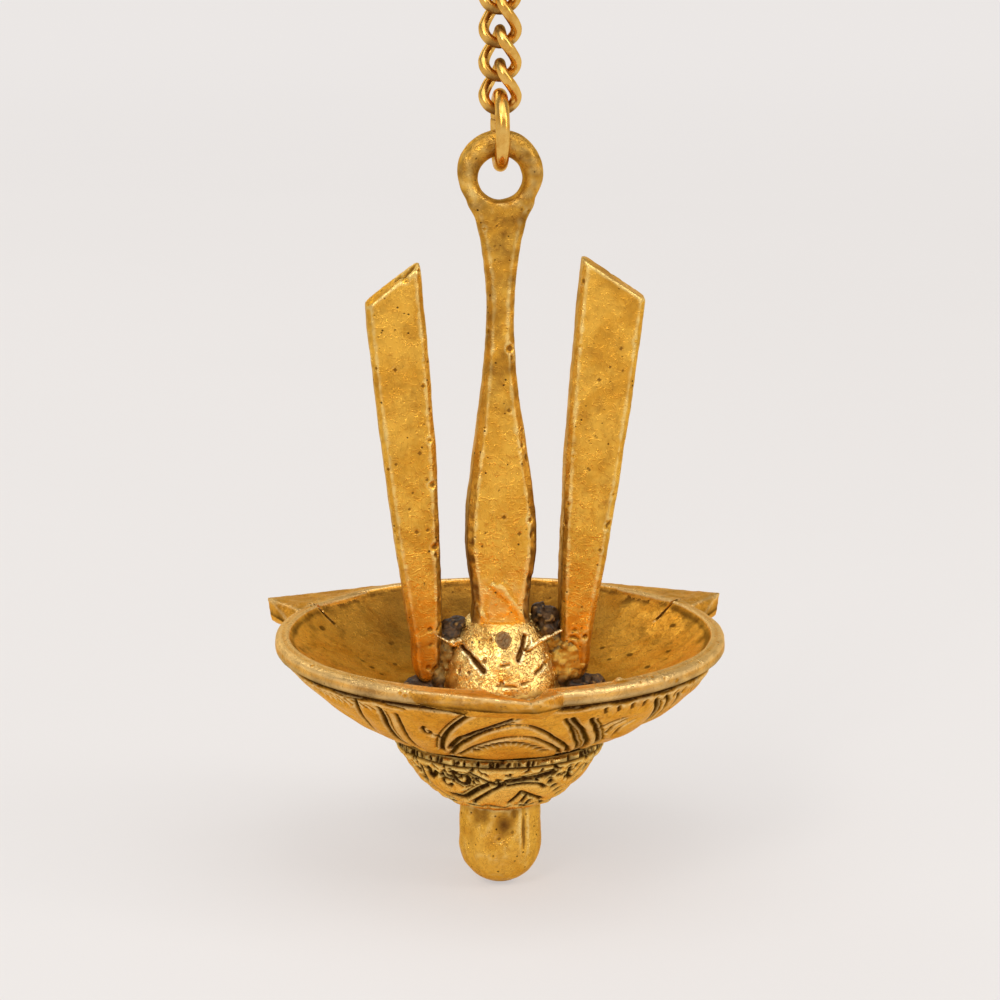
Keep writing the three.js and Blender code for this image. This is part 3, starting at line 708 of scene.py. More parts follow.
def underside_profile():
    curve = bezier(
        [(18.4, BOWL_BOTTOM), (26.6, BOWL_BOTTOM + 3.2), (32.3, BAND_BOTTOM - 6.8), (39.1, BAND_BOTTOM)], 400
    )
    return respaced(curve, 0.24)


def cup_profile():
    curve = bezier([(8.1, CUP_BOTTOM), (12.6, CUP_BOTTOM + 0.9), (CUP_RADIUS - 2.6, CUP_TOP - CUP_RIM - 4),
                    (CUP_RADIUS, CUP_TOP - CUP_RIM)], 400)
    return respaced(np.vstack([curve, [(CUP_RADIUS, CUP_TOP)]]), 0.2)


def profile_normals(profile):
    along = np.gradient(profile, axis=0)
    along /= np.linalg.norm(along, axis=1)[:, None]
    return np.stack([along[:, 1], -along[:, 0]], 1)


def right_bulge(theta, s):
    """The underside of the bowl is a little fuller on the right."""
    return 0.75 * peak(turn_between(theta, -12) / 40) * smoothstep(4, 12, s) * smoothstep(26, 20, s)


def carved_rings(profile, count, strokes, horizontal, pillow, seed, bulge=None):
    """Rings of a turned and carved surface. horizontal lists (mm up, width, depth) of turned lines."""
    s = arc_lengths(profile)
    out = profile_normals(profile)
    theta = np.arange(count) * 360.0 / count - 180
    grid_theta = np.tile(theta, len(s))
    grid_s = np.repeat(s, count)
    grid_r = np.repeat(profile[:, 0], count)
    flat = np.stack([grid_r * np.cos(grid_theta * DEG), grid_r * np.sin(grid_theta * DEG), grid_s], 1)
    wander = noise_at(flat, 3.0, seed) * 0.16
    near, depth = stroke_distance(
        grid_theta + wander * 2.0, grid_s + wander, grid_r, repeated(strokes, THIRDS))
    for up, width, deep in horizontal:
        d = np.abs(grid_s + wander * 0.6 - up)
        near = np.minimum(near, np.maximum(d - width / 2, 0))
        depth = np.maximum(depth, deep * peak(d / width))
    fade = smoothstep(0, 0.8, grid_s) * smoothstep(0, 0.5, s[-1] - grid_s)
    raised = pillow * (1 - np.exp(-near / 0.9)) * (1 + 0.5 * noise_at(flat, 5.5, seed + 5))
    if bulge is not None:
        raised += bulge(grid_theta, grid_s)
    shift = (raised - depth * (0.85 + 0.3 * noise_at(flat, 1.2, seed + 3))) * fade
    shift = shift.reshape(len(s), count)
    rings = []
    for i, (r, z) in enumerate(profile):
        radius = r + out[i, 0] * shift[i]
        height = z + out[i, 1] * shift[i]
        rings.append(np.stack([radius * np.cos(theta * DEG), radius * np.sin(theta * DEG), height], 1))
    dark = np.clip(1.5 * depth / 0.42, 0, 1) * np.clip(0.55 + 0.45 * fade, 0, 1)
    wash = 0.30 * np.exp(-near / 0.25) * np.clip(0.4 + 1.0 * noise_at(flat, 1.6, seed + 7), 0, 1)
    return rings, np.maximum(dark, wash).reshape(len(s), count)


def plain_rings(profile, count):
    theta = (np.arange(count) * 360.0 / count - 180) * DEG
    return [np.stack([r * np.cos(theta), r * np.sin(theta), np.full(count, z)], 1) for r, z in profile]


def patina_from(points, profile, dark, tolerance):
    """Patina of each vertex, looked up on the carved surface that it lies on."""
    theta, radius = polar(points)
    value = np.zeros(len(points))
    count = dark.shape[1]
    column = np.floor((theta + 180) / 360 * count + 0.5).astype(int) % count
    for start in range(0, len(points), 20000):
        part = slice(start, start + 20000)
        d = np.hypot(radius[part, None] - profile[None, :, 0], points[part, 2, None] - profile[None, :, 1])
        row = d.argmin(1)
        value[part] = np.where(d.min(1) < tolerance, dark[row, column[part]], 0)
    return value


# Bowl

def spout_points(reach, tip_height, long_side, top_corner):
    """Corners of a spout that points along +X: a lip flush with the rim, with one long side tangent
    to the rim, one short steep side, and a keel below. top_corner is the share of the short side's
    width at which its upper edge meets the rim."""
    tip = RIM_RADIUS + reach
    tangent = math.acos(RIM_RADIUS / tip)
    near = -9 * DEG
    root = RIM_INNER + 0.45
    edge = RIM_RADIUS - 0.15

    def at(radius, angle, height):
        return radius * math.cos(angle), long_side * radius * math.sin(angle), height

    return [
        at(tip, 0, RIM_TOP),
        at(tip - 0.8, 0, RIM_TOP - tip_height),
        at(root, 0, RIM_TOP),
        at(edge, tangent, RIM_TOP - 0.4),
        at(edge, tangent, BAND_BOTTOM + 0.45),
        at(edge, near * top_corner, RIM_TOP - 0.4),
        at(root, near / 2, BAND_BOTTOM),
        at(edge, near, BAND_BOTTOM),
        at(edge - BAND_STEP, near / 2, RIM_TOP - 5.2),
        at(edge - BAND_STEP, tangent / 2, RIM_TOP - 4.6),
    ]


def hull(name, points):
    work = bmesh.new()
    for p in points:
        work.verts.new(p)
    bmesh.ops.convex_hull(work, input=work.verts)
    bmesh.ops.triangulate(work, faces=work.faces)
    mesh = bpy.data.meshes.new(name)
    work.to_mesh(mesh)
    work.free()
    return object_from(name, mesh)


def turned_about_z(obj, degrees):
    points = coordinates(obj.data)
    c, s = math.cos(degrees * DEG), math.sin(degrees * DEG)
    rotated = points.copy()
    rotated[:, 0] = c * points[:, 0] - s * points[:, 1]
    rotated[:, 1] = s * points[:, 0] + c * points[:, 1]
    set_coordinates(obj.data, rotated)
    return obj


def wick_slot():
    """What is cut from a side spout: a groove that gets wider and deeper inwards."""
    points = []
    for radius, depth, half in ((RIM_RADIUS - 0.5, 0.5, 0.36), (34.2, 7.0, 0.8)):
        points += [(radius, -half, RIM_TOP + 1), (radius, half, RIM_TOP + 1), (radius, 0, RIM_TOP - depth)]
    return hull("slot", points)


def front_channel():
    """What is cut from the top of the front spout, so that only thin walls are left round a V-shaped lip."""
    above = RIM_TOP + 1.5
    points = [
        (45.0, 0.1, above), (40.5, -7.2, above), (37.0, -9.4, above), (33.0, -7.0, above),
        (33.0, 4.0, above), (37.0, 5.2, above), (39.4, 4.5, above),
        (44.2, 0.1, RIM_TOP - 0.6), (40.5, -2.6, RIM_TOP - 1.9), (40.5, 1.3, RIM_TOP - 1.9),
        (36.0, -3.0, RIM_TOP - 3.0), (36.0, 1.5, RIM_TOP - 3.0), (32.6, -0.8, RIM_TOP - 4.1),
    ]
    return hull("channel", points)


# Outline of the plain rim band: (mm from the axis, height)
BAND = [(39.2, 43.64), (39.5, 43.74), (39.8, 43.92), (39.95, 44.2), (39.99, 44.7), (39.97, 45.2),
        (39.92, 45.6), (39.78, 45.95), (39.5, 46.2), (39.1, 46.34), (38.6, 46.42), (38.15, 46.5),
        (37.85, 46.58), (37.6, 46.56), (37.42, 46.4)]
# Angle of each spout and what spout_points takes for it
SPOUTS = [(FRONT_SPOUT, 6.0, 1.2, -1, 1.0), (SIDE_SPOUTS[0], 8.5, 4.4, 1, 0.55),
          (SIDE_SPOUTS[1], 8.5, 4.4, -1, 0.55)]


def bowl_skin(carved):
    """The bowl without spouts: carved below, with a plain band and an uneven cast inside."""
    inside = respaced(
        bezier([(37.3, 46.05), (31.3, 40.3), (20.5, 36.2), (12.5, BOWL_FLOOR)], 200), 0.75)
    socket = [(8, SOCKET_TOP), (SOCKET_RADIUS - 1.5, SOCKET_TOP), (SOCKET_RADIUS, SOCKET_TOP - 1.5),
              (SOCKET_RADIUS, BOWL_BOTTOM)]
    rings = carved + plain_rings(BAND, 900) + plain_rings(inside, 450)
    rings += plain_rings([(9.5, BOWL_FLOOR), (6.5, BOWL_FLOOR)], 450)
    rings += plain_rings([(STUD_HOLE, BOWL_FLOOR), (STUD_HOLE, SOCKET_TOP)], 225)
    rings += plain_rings(socket, 450) + plain_rings([(17.3, BOWL_BOTTOM)], 900)
    obj = clean(object_from("bowl_with_spouts", revolve("bowl", rings)))
    mesh = obj.data
    points = coordinates(mesh)
    height = points[:, 2]
    shown = (height > BAND_BOTTOM) | ((height > BOWL_FLOOR - 0.1) & (normals(mesh)[:, 2] > 0.1))
    wave = noise_at(points, 9.0, 2.0) * 0.24 + noise_at(points, 3.2, 7.0) * 0.13
    rim = smoothstep(34.5, 37.5, polar(points)[1])
    push(mesh, (wave * (1 - rim) + np.minimum(0.45 * wave - 0.06, 0) * rim) * shown)
    pits(mesh, 90, 71, 0.60, 0.16,
         lambda p, n: (p[:, 2] > BOWL_FLOOR - 0.1) & (n[:, 2] > 0.2) & (polar(p)[1] < 35))
    pits(mesh, 50, 72, 0.42, 0.14, lambda p, n: (p[:, 2] > BAND_BOTTOM + 0.5) & (polar(p)[1] > 39))
    # a small burr on the rim, right of the front spout
    points = coordinates(mesh)
    burr = (37.6 * math.cos(-62.5 * DEG), 37.6 * math.sin(-62.5 * DEG), RIM_TOP)
    points[:, 2] += 0.55 * peak(np.linalg.norm(points - burr, axis=1) / 0.75)
    set_coordinates(mesh, points)
    return obj


def add_spouts(obj):
    for angle, *sizes in SPOUTS:
        spout = remeshed(hull("spout", spout_points(*sizes)), 0.26, 5)
        rough(spout.data, 0.12, 2.2, 4.4, inward=True)
        combined(obj, turned_about_z(spout, angle), "UNION")
    combined(obj, turned_about_z(front_channel(), FRONT_SPOUT), "DIFFERENCE")
    for angle in SIDE_SPOUTS:
        combined(obj, turned_about_z(wick_slot(), angle), "DIFFERENCE")


def bowl_patina_and_shade(points, out, carved):
    """The dark of the carved lines, soot and painted shade inside the bowl, and brown and painted shade on
    the band.
    """
    x, y, z = points.T
    radius = polar(points)[1]
    cloud = 0.5 + 0.5 * noise_at(points, 5.0, 3.0)
    # soot in clouds, with painted shade towards the boss's foot, on the back wall and round the right bar's
    # foot
    soot_and_shade = np.clip(1 - (radius - 12) / 13, 0, 1) ** 1.4 * (0.15 + 0.55 * cloud)
    soot_and_shade += 0.25 * np.clip(cloud - 0.5, 0, 1)
    soot_and_shade += smoothstep(6, 26, y) * smoothstep(30, 16, np.abs(x)) * (0.42 + 0.35 * cloud)
    soot_and_shade += 0.35 * np.clip(1 - np.hypot(x - 17.5, y + 1) / 9, 0, 1)
    inner = (z > BOWL_FLOOR - 0.3) & (radius < RIM_INNER) & (out[:, 2] > 0)
    patina_and_shade = np.where(inner, np.clip(soot_and_shade, 0, 0.9), carved)
    # random brown on the band, and painted shade that darkens it towards its bottom edge
    band_brown_and_shade = 0.06 + 0.32 * noise_at(points, 3.5, 5.0) + 0.28 * smoothstep(45.8, 44.4, z)
    band_brown_and_shade += 0.5 * smoothstep(44.4, 43.6, z)
    face = (z > BAND_BOTTOM - 0.1) & (radius > 39.3)
    patina_and_shade = np.where(face, np.clip(band_brown_and_shade, 0, 0.9), patina_and_shade)
    channel = (out[:, 2] > 0.35) & (z < RIM_TOP - 0.5) & (radius > 33) & (y < -25)
    return np.where(channel, 0.10 + 0.25 * np.clip(cloud - 0.4, 0, 1), patina_and_shade)


def bowl_rubbing_and_highlight(points):
    """How much more the rim's edges and the spouts are rubbed bright, with a painted highlight along the
    rim's inner edge.
    """
    radius = polar(points)[1]
    lip = smoothstep(RIM_TOP - 0.9, RIM_TOP - 0.35, points[:, 2])
    # a painted highlight along the rim's inner edge
    inner_edge_highlight = lip * peak((radius - 37.7) / 0.45)
    spout_face = smoothstep(39.98, 40.15, radius) * smoothstep(BAND_BOTTOM, BAND_BOTTOM + 0.6, points[:, 2])
    rubbed_and_highlit = 0.15 * lip * (0.5 + 0.5 * smoothstep(40.0, 39.5, radius))
    rubbed_and_highlit += 0.22 * inner_edge_highlight * (0.8 + 0.6 * noise_at(points, 2.0, 8.0))
    return rubbed_and_highlit + 0.05 * spout_face * (1 + 0.8 * noise_at(points, 2.5, 8.0))


def oil_bowl():
    under = underside_profile()
    carved, dark = carved_rings(
        under, 900, with_dashes(BOWL_STROKES, under, 0.37),
        [(arc_lengths(under)[-1] - 0.6, 0.60, 1.0), (0.9, 0.30, 0.2)], 0.55, 1.0, right_bulge,
    )
    obj = bowl_skin(carved)
    add_spouts(obj)
    points = coordinates(obj.data)
    patina_and_shade = bowl_patina_and_shade(points, normals(obj.data), patina_from(points, under, dark, 0.9))
    placed(obj, "lamp", "oil_bowl", bowl_metal, patina_and_shade, sharp=40, rubbed_and_highlit=bowl_rubbing_and_highlight(points))


# Cup and finial

def cup_cuts(top):
    """Random cuts on the cup: a row of teeth under its rim, and short curved cuts lower down."""
    random = np.random.default_rng(5)
    cuts = []
    for k in range(44):
        at = 120 / 44 * (k + random.uniform(-0.3, 0.3))
        low, high, deep = random.uniform((1.0, 0.45, 0.20), (1.5, 0.85, 0.55))
        if random.random() < 0.72:
            width = random.uniform(0.26, 0.50)
            cuts.append((width, deep, [(at, top - low), (at + random.uniform(-0.9, 0.9), top - high)]))
    for _ in range(64):
        at = random.uniform(0, 120)
        up = top - random.uniform(2.3, 6.6)
        turn = random.uniform(0, 180) * DEG
        length = random.uniform(0.35, 1.1)
        across, rise = 3.2 * length * math.cos(turn), length * math.sin(turn)
        bend = random.uniform(-0.3, 0.3)
        line = [(at, up), (at + across / 2 + 3 * bend, up + rise / 2 - bend), (at + across, up + rise)]
        cuts.append((random.uniform(0.20, 0.38), random.uniform(0.30, 0.58), line))
    return cuts


def base_cup():
    outer = cup_profile()
    top = arc_lengths(outer)[-1]
    carved, dark = carved_rings(
        outer, 800, with_dashes(CUP_STROKES, outer, 0.43) + cup_cuts(top),
        [(top - 1.75, 0.36, 0.36), (top - 0.1, 0.34, 0.5)], 0.55, 6.0,
    )
    wall = CUP_RADIUS - 2.7
    rings = carved + plain_rings([(CUP_RADIUS - 0.5, CUP_TOP)], 800)
    rings += plain_rings([(wall, CUP_TOP), (wall, CUP_TOP - CUP_RIM)], 400)
    rings += plain_rings([(wall - 2.8, CUP_BOTTOM + 6.2), (wall - 5.9, CUP_BOTTOM + 2.9),
                          (STUD_HOLE, CUP_BOTTOM + 2.8), (STUD_HOLE, CUP_BOTTOM)], 200)
    rings += plain_rings([(6.4, CUP_BOTTOM)], 400)
    obj = clean(object_from("carved_cup", revolve("cup", rings)))
    mesh = obj.data
    points = coordinates(mesh)
    # a low wavy edge above the finial
    lobed = smoothstep(CUP_BOTTOM + 3.2, CUP_BOTTOM + 0.6, points[:, 2])
    lobed *= smoothstep(5.5, 8.0, polar(points)[1])
    lobes = np.abs(np.sin(np.arctan2(points[:, 1], points[:, 0]) * 7 + 0.6)) ** 0.7
    points[:, :2] *= (1 + lobed * (0.05 * lobes - 0.02))[:, None]
    set_coordinates(mesh, points)
    rough(mesh, 0.10, 4.0, 9.0)
    points = coordinates(mesh)
    rim_dirt = 0.50 + 0.9 * noise_at(points, 1.6, 3.0)
    rim_dirt *= smoothstep(CUP_TOP - 1.9, CUP_TOP - 1.2, points[:, 2])
    patina_and_shade = np.maximum(patina_from(points, outer, dark, 1.0), rim_dirt)
    placed(obj, "lamp", "carved_base_cup", carved_metal, patina_and_shade, sharp=45)


def finial():
    tip = 7.5
    start = math.asin(2 / tip)
    outline = [(0.001, 0.03), (0.8, 0.02), (1.5, 0.05)]
    for i in range(17):
        angle = start + (math.pi / 2 - start) * i / 16
        outline.append((tip * math.sin(angle), 0.06 + tip * (math.cos(start) - math.cos(angle))))
    outline += [(7.46, 9.6), (7.42, 12.2), (7.32, 14.0), (7.1, 15.2), (6.6, 15.8), (4.5, FINIAL_TOP)]
    profile = respaced(outline, 0.36)
    rings = [np.array([[0, 0, 0.03]])] + plain_rings(profile[1:], 128)
    rings += plain_rings([(STUD_HOLE, FINIAL_TOP), (STUD_HOLE, 4.6)], 64) + [np.array([[0, 0, 4.6]])]
    mesh = revolve("finial", rings)
    obj = clean(object_from("finial", mesh))
    points = coordinates(mesh)
    out = normals(mesh)
    theta, radius = polar(points)
    dent = np.zeros(len(points))
    for angle, height, wide, tall, deep in (
        (-88, 12.2, 15, 2.2, 0.85), (-140, 9.0, 10, 3.8, 0.35), (-58, 11.2, 4, 3.8, 0.5),
        (-118, 13.6, 9, 1.6, 0.6), (-72, 14.2, 6, 1.2, 0.45), (-132, 13.4, 8, 1.8, 0.5),
        (20, 9, 14, 3.6, 0.4), (95, 8, 16, 3.6, 0.4), (165, 10, 12, 3.2, 0.4),
    ):
        away = turn_between(theta, angle)
        dent += deep * peak(away / wide) * peak((points[:, 2] - height) / tall)
    shift = -dent - np.abs(noise_at(points, 4.2, 5.0)) * 0.22 - np.abs(noise_at(points, 1.6, 8.0)) * 0.07
    low = smoothstep(0.0, 0.8, points[:, 2])
    set_coordinates(mesh, points + out * (shift * (radius > 3) * low)[:, None])
    pits(mesh, 26, 11, 0.42, 0.22, lambda p, n: polar(p)[1] > 4)
    points = coordinates(mesh)
    crown = smoothstep(13.4, 15.6, points[:, 2]) * 0.85
    sunk = np.clip(dent - 0.2, 0, 1) * 1.5
    patina_and_shade = crown * (0.6 + 0.6 * noise_at(points, 1.5, 2.0)) + sunk
    # a painted contact shadow darkens the lowest mm of the tip, just above the floor
    patina_and_shade = np.maximum(patina_and_shade, smoothstep(0.9, 0.1, points[:, 2]) * 0.7)
    placed(obj, "lamp", "finial_knob", aged, patina_and_shade, sharp=60)


# Boss, rivet, braze

def bell(name, outline, count, spacing):
    profile = respaced(outline, spacing)
    rings = [np.array([[0, 0, outline[0][1]]])] + plain_rings(profile, count)
    rings += [np.array([[0, 0, outline[-1][1]]])]
    return clean(object_from(name, revolve(name, rings)))


def boss_flank():
    return bezier(
        [(11.2, BOSS_BOTTOM + 1.1), (10.6, BOSS_BOTTOM + 5.2), (8.3, BOSS_TOP - 2.2), (5.7, BOSS_TOP)], 40)


def add_lumps(mesh, spots):
    """Adds round lumps to a mesh, each given by its centre and half sizes."""
    work = bmesh.new()
    work.from_mesh(mesh)
    for x, y, z, rx, ry, rz in spots:
        made = bmesh.ops.create_icosphere(work, subdivisions=3, radius=1)
        for v in made["verts"]:
            v.co = Vector((x + v.co.x * rx, y + v.co.y * ry, z + v.co.z * rz))
    work.to_mesh(mesh)
    work.free()


def bead_line(start, end, first, last, count=9):
    """Lumps in a row, as a run of filler metal."""
    a, b = np.array(start), np.array(end)
    spots = []
    for t in np.linspace(0, 1, count):
        size = mix(first, last, t)
        spots.append((*(a + (b - a) * t), size, size, size))
    return spots


def boss():
    outline = [(2.0, BOSS_BOTTOM), (12.1, BOSS_BOTTOM), (12.2, BOSS_BOTTOM + 0.55),
               *[tuple(p) for p in boss_flank()], (4.0, BOSS_TOP), (1.0, BOSS_TOP)]
    obj = bell("boss", outline, 160, 0.4)
    mesh = obj.data
    points = coordinates(mesh)
    out = normals(mesh)
    theta, radius = polar(points)
    # two flat facets filed on the front, and one on the back
    shift = np.zeros(len(points))
    for angle, wide, deep in ((-118, 24, 0.7), (-60, 24, 0.7), (92, 40, 0.6)):
        away = turn_between(theta, angle)
        shift -= deep * peak(away / wide) * smoothstep(BOSS_BOTTOM + 1, BOSS_BOTTOM + 6, points[:, 2])
    shift += noise_at(points, 3.4, 1.0) * 0.30 + noise_at(points, 1.3, 6.0) * 0.10
    shift *= 1 - 0.85 * smoothstep(BOSS_TOP - 2.4, BOSS_TOP - 0.6, points[:, 2])
    moving = smoothstep(BOSS_BOTTOM, BOSS_BOTTOM + 0.8, points[:, 2]) * smoothstep(3.0, 6.0, radius)
    set_coordinates(mesh, points + out * (shift * moving)[:, None])
    # runs of filler metal towards the bars, and a drop left of the rivet
    runs = bead_line((4.5, -7.4, 45.0), (6.8, -6.0, 46.1), 0.46, 0.60)
    runs += bead_line((6.8, -6.0, 46.1), (10.6, -3.6, 47.2), 0.60, 0.34)
    runs += bead_line((5.0, -6.3, 47.2), (4.9, -7.0, 45.4), 0.26, 0.40, 6)
    runs += bead_line((-12.6, -3.7, 47.4), (-9.0, -4.4, 45.4), 0.16, 0.30, 14)
    runs += [(-8.5, -4.5, 45.6, 0.95, 0.85, 0.8), (-7.7, -5.0, 46.1, 0.7, 0.6, 0.6)]
    runs += bead_line((-7.0, 5.8, 45.2), (-10.2, 3.2, 46.6), 0.6, 0.45)
    runs += [(7.6, 5.0, 44.8, 1.1, 0.9, 0.8)]
    add_lumps(mesh, runs)
    remeshed(obj, 0.24, 2, 0.4)
    slashes = [
        ((-7.7, -4.6, 45.4), (-5.6, -7.6, 43.4), 0.30, 0.80),
        ((-5.6, -7.6, 43.4), (-3.9, -9.1, 41.7), 0.40, 0.95),
        ((4.3, -6.5, 47.0), (3.7, -7.8, 45.4), 0.34, 0.75),
        ((3.7, -7.8, 45.4), (3.0, -8.9, 43.6), 0.40, 0.85),
        ((1.0, -9.8, 42.9), (-0.6, -9.8, 42.6), 0.22, 0.30),
        ((-1.4, -11.2, 39.6), (2.4, -11.4, 39.2), 0.26, 0.35),
        ((3.6, -11.0, 39.8), (5.6, -10.2, 40.2), 0.26, 0.30),
        ((8.2, -7.0, 42.2), (6.4, -8.8, 41.0), 0.30, 0.45),
        ((-6.0, 7.4, 44.4), (-2.4, 9.8, 41.0), 0.32, 0.5),
        ((6.4, 7.2, 44.0), (4.0, 9.6, 40.6), 0.32, 0.5),
    ]
    mesh = obj.data
    points = coordinates(mesh)
    out = normals(mesh)
    cut = np.zeros(len(points))
    for a, b, width, deep in slashes:
        gap = off_segment(points, a, b)
        # distance across the surface only, so a line slightly off the skin still cuts it
        near = np.linalg.norm(gap, axis=1) < 2.5
        gap -= out * (np.einsum("ij,ij->i", gap, out) * near)[:, None]
        cut = np.maximum(cut, deep * peak(np.linalg.norm(gap, axis=1) / width))
    set_coordinates(mesh, points - out * cut[:, None])
    pits(mesh, 70, 21, 0.40, 0.25, lambda p, n: p[:, 2] < BOSS_TOP - 1)
    points = coordinates(mesh)
    patina_and_shade = np.clip(cut * 2.6, 0, 1)
    # painted shade on the boss's sides towards the bars, and on its back
    side_shade = smoothstep(6.0, 10.5, np.abs(points[:, 0]) + 0.25 * np.maximum(points[:, 1], 0))
    patina_and_shade = np.maximum(patina_and_shade, side_shade * (0.40 + 0.7 * noise_at(points, 1.8, 4.0)))
    # painted shade at the boss's foot, where it meets the bowl's floor
    low = smoothstep(38.8, 36.6, points[:, 2]) * (0.70 + 0.5 * noise_at(points, 2.5, 1.0))
    patina_and_shade = np.maximum(patina_and_shade, low)
    placed(obj, "lamp", "centre_boss", filed, patina_and_shade, sharp=60)


def rivet():
    radius = 1.42
    half = 8.25
    outline = [(0.3, -half), (0.9, -half + 0.01), (1.25, -half + 0.04), (radius, -half + 0.16),
               (radius, half - 0.16), (1.25, half - 0.04), (0.9, half - 0.01), (0.3, half)]
    obj = bell("rivet", outline, 40, 0.16)
    mesh = obj.data
    rough(mesh, 0.14, 1.0, 3.0, inward=True)
    points = coordinates(mesh)
    # the ends are filed flush with the slope of the boss
    flank = boss_flank()
    lying = np.stack([points[:, 0], -points[:, 2], points[:, 1] + RIVET_HEIGHT], 1)
    flush = np.interp(lying[:, 2], flank[:, 1], flank[:, 0]) + 0.05
    near_end = smoothstep(5.0, 8.0, np.abs(lying[:, 1]))
    lying[:, 1] += np.sign(lying[:, 1]) * (flush - half) * near_end
    set_coordinates(mesh, lying)
    placed(clean(obj), "lamp", "boss_rivet", rivet_metal, sharp=50)


def lumps(name, spots, voxel, seed):
    """Overlapping round lumps joined into one rough skin."""
    mesh = bpy.data.meshes.new(name)
    add_lumps(mesh, spots)
    obj = remeshed(object_from(name, mesh), voxel, 3)
    rough(obj.data, 0.26, 1.8, seed)
    rough(obj.data, 0.20, 0.7, seed + 1)
    return obj


def braze_lumps(side):
    spots = [
        (side * 13.4, 0.2, 36.9, 3.6, 4.2, 1.2),
        (side * 10.6, -1.6, 38.3, 1.9, 3.0, 2.2),
        (side * 10.5, 1.9, 38.6, 2.0, 2.8, 2.4),
        (side * 9.9, -0.4, 41.9, 1.9, 3.5, 3.4),
        (side * 9.3, 0.2, 44.8, 2.2, 3.6, 2.9),
        (side * 8.5, 0.0, 46.6, 2.5, 3.3, 2.1),
    ]
    if side > 0:
        spots += [(8.6, 0.4, 48.6, 2.1, 2.9, 2.2), (6.9, 0.2, 49.7, 1.5, 2.3, 1.6),
                  (17.0, -1.6, 37.2, 1.6, 2.2, 0.9), (12.1, -2.4, 41.8, 2.6, 1.7, 3.9),
                  (10.8, -2.6, 39.6, 2.8, 2.0, 2.2)]
    else:
        spots += [(-7.5, 0.2, 47.5, 2.0, 2.8, 1.5), (-16.0, -2.2, 37.1, 1.6, 2.0, 0.9),
                  (-9.6, -2.2, 43.0, 1.5, 1.6, 3.2)]
    random = np.random.default_rng(90 + side)
    for x, y, z, rx, ry, rz in list(spots):
        for _ in range(9):
            way = random.normal(size=3)
            way[1] = -abs(way[1])
            way /= np.linalg.norm(way)
            grain = random.uniform(0.35, 0.75)
            spots.append((x + way[0] * rx, y + way[1] * ry, z + way[2] * rz, grain, grain, grain * 0.9))
    node = f"{HANDS[side]}_braze"
    obj = lumps(f"{node}_lumps", spots, 0.26, 3.0 + side)
    points = coordinates(obj.data)
    filed_front = smoothstep(-2.0, -3.6, points[:, 1]) * smoothstep(46.5, 45.0, points[:, 2])
    filed_front *= smoothstep(37.8, 40.0, points[:, 2]) * (0.9 if side > 0 else 0.35)
    placed(obj, "lamp", node, soot, filed_front, sharp=70)


# Stem and bars

def loft(name, rings):
    count = len(rings[0])
    points = np.vstack(rings)
    faces = [tuple(range(count))[::-1]]
    for a in range(0, (len(rings) - 1) * count, count):
        b = a + count
        faces += [(a + i, a + (i + 1) % count, b + (i + 1) % count, b + i) for i in range(count)]
    top = (len(rings) - 1) * count
    faces.append(tuple(top + i for i in range(count)))
    return clean(object_from(name, mesh_from(name, points, faces)))


def chamfered(half_width, half_depth, chamfer):
    cut = min(chamfer, half_width * 0.45, half_depth * 0.45)
    return np.array([
        (half_width - cut, -half_depth), (half_width, cut - half_depth),
        (half_width, half_depth - cut), (half_width - cut, half_depth),
        (cut - half_width, half_depth), (-half_width, half_depth - cut),
        (-half_width, cut - half_depth), (cut - half_width, -half_depth),
    ])


def ease(t):
    return (1 - math.cos(math.pi * t)) / 2


def mix(a, b, t):
    return a + (b - a) * t


def stem_half_width(height):
    if height < BELLY_HEIGHT:
        return mix(4.85, 6.2, ease(height / BELLY_HEIGHT))
    if height < NECK_HEIGHT:
        return mix(6.2, 2.35, ease(((height - BELLY_HEIGHT) / (NECK_HEIGHT - BELLY_HEIGHT)) ** 0.85))
    up = (height - NECK_HEIGHT) / (STEM_BLADE - NECK_HEIGHT)
    return mix(2.35, 4.9, up ** 1.8)


def on_long_edge(points, out):
    return (np.abs(out[:, 0]) > 0.4) & (np.abs(out[:, 1]) > 0.4)


def stem_blank():
    """The blade from tang to shoulders with the eye on top of it, joined into one skin."""
    rings = []
    for i in range(61):
        height = -2.4 + (STEM_BLADE + 3.4) * i / 60
        up = max(0.0, height)
        half_depth = mix(4.3, 2.3, ease(min(1, up / NECK_HEIGHT)))
        half = stem_half_width(up)
        if height < 2.6:
            half += 0.85 * ((2.6 - height) / 5.0) ** 1.5
        half += 0.35 * max(0.0, height - STEM_BLADE)
        section = chamfered(half, half_depth, 1.35)
        lean = 0.12 * math.sin(height / 9.0)
        rings.append(np.column_stack([section[:, 0] + lean, section[:, 1], np.full(8, STEM_FOOT + height)]))
    obj = loft("stem", rings)
    work = bmesh.new()
    work.from_mesh(obj.data)
    around, across = 64, 20
    grid = []
    for i in range(around):
        angle = 2 * math.pi * i / around
        inner = Vector((EYE_INNER * math.cos(angle), 0, EYE_HOLE + EYE_INNER * math.sin(angle)))
        outer = Vector((EYE_OUTER * math.cos(angle), 0, EYE_CENTRE + EYE_OUTER * math.sin(angle)))
        ring = []
        for j in range(across):
            turn = 2 * math.pi * j / across
            flat = math.copysign(abs(math.sin(turn)) ** 0.8, math.sin(turn))
            p = inner.lerp(outer, (1 + math.cos(turn)) / 2)
            ring.append(work.verts.new((p.x, EYE_HALF_DEPTH * flat, p.z)))
        grid.append(ring)
    for i in range(around):
        a, b = grid[i], grid[(i + 1) % around]
        for j in range(across):
            work.faces.new((a[j], a[(j + 1) % across], b[(j + 1) % across], b[j]))
    bmesh.ops.recalc_face_normals(work, faces=work.faces)
    work.to_mesh(obj.data)
    work.free()
    return remeshed(obj, 0.30, 3)


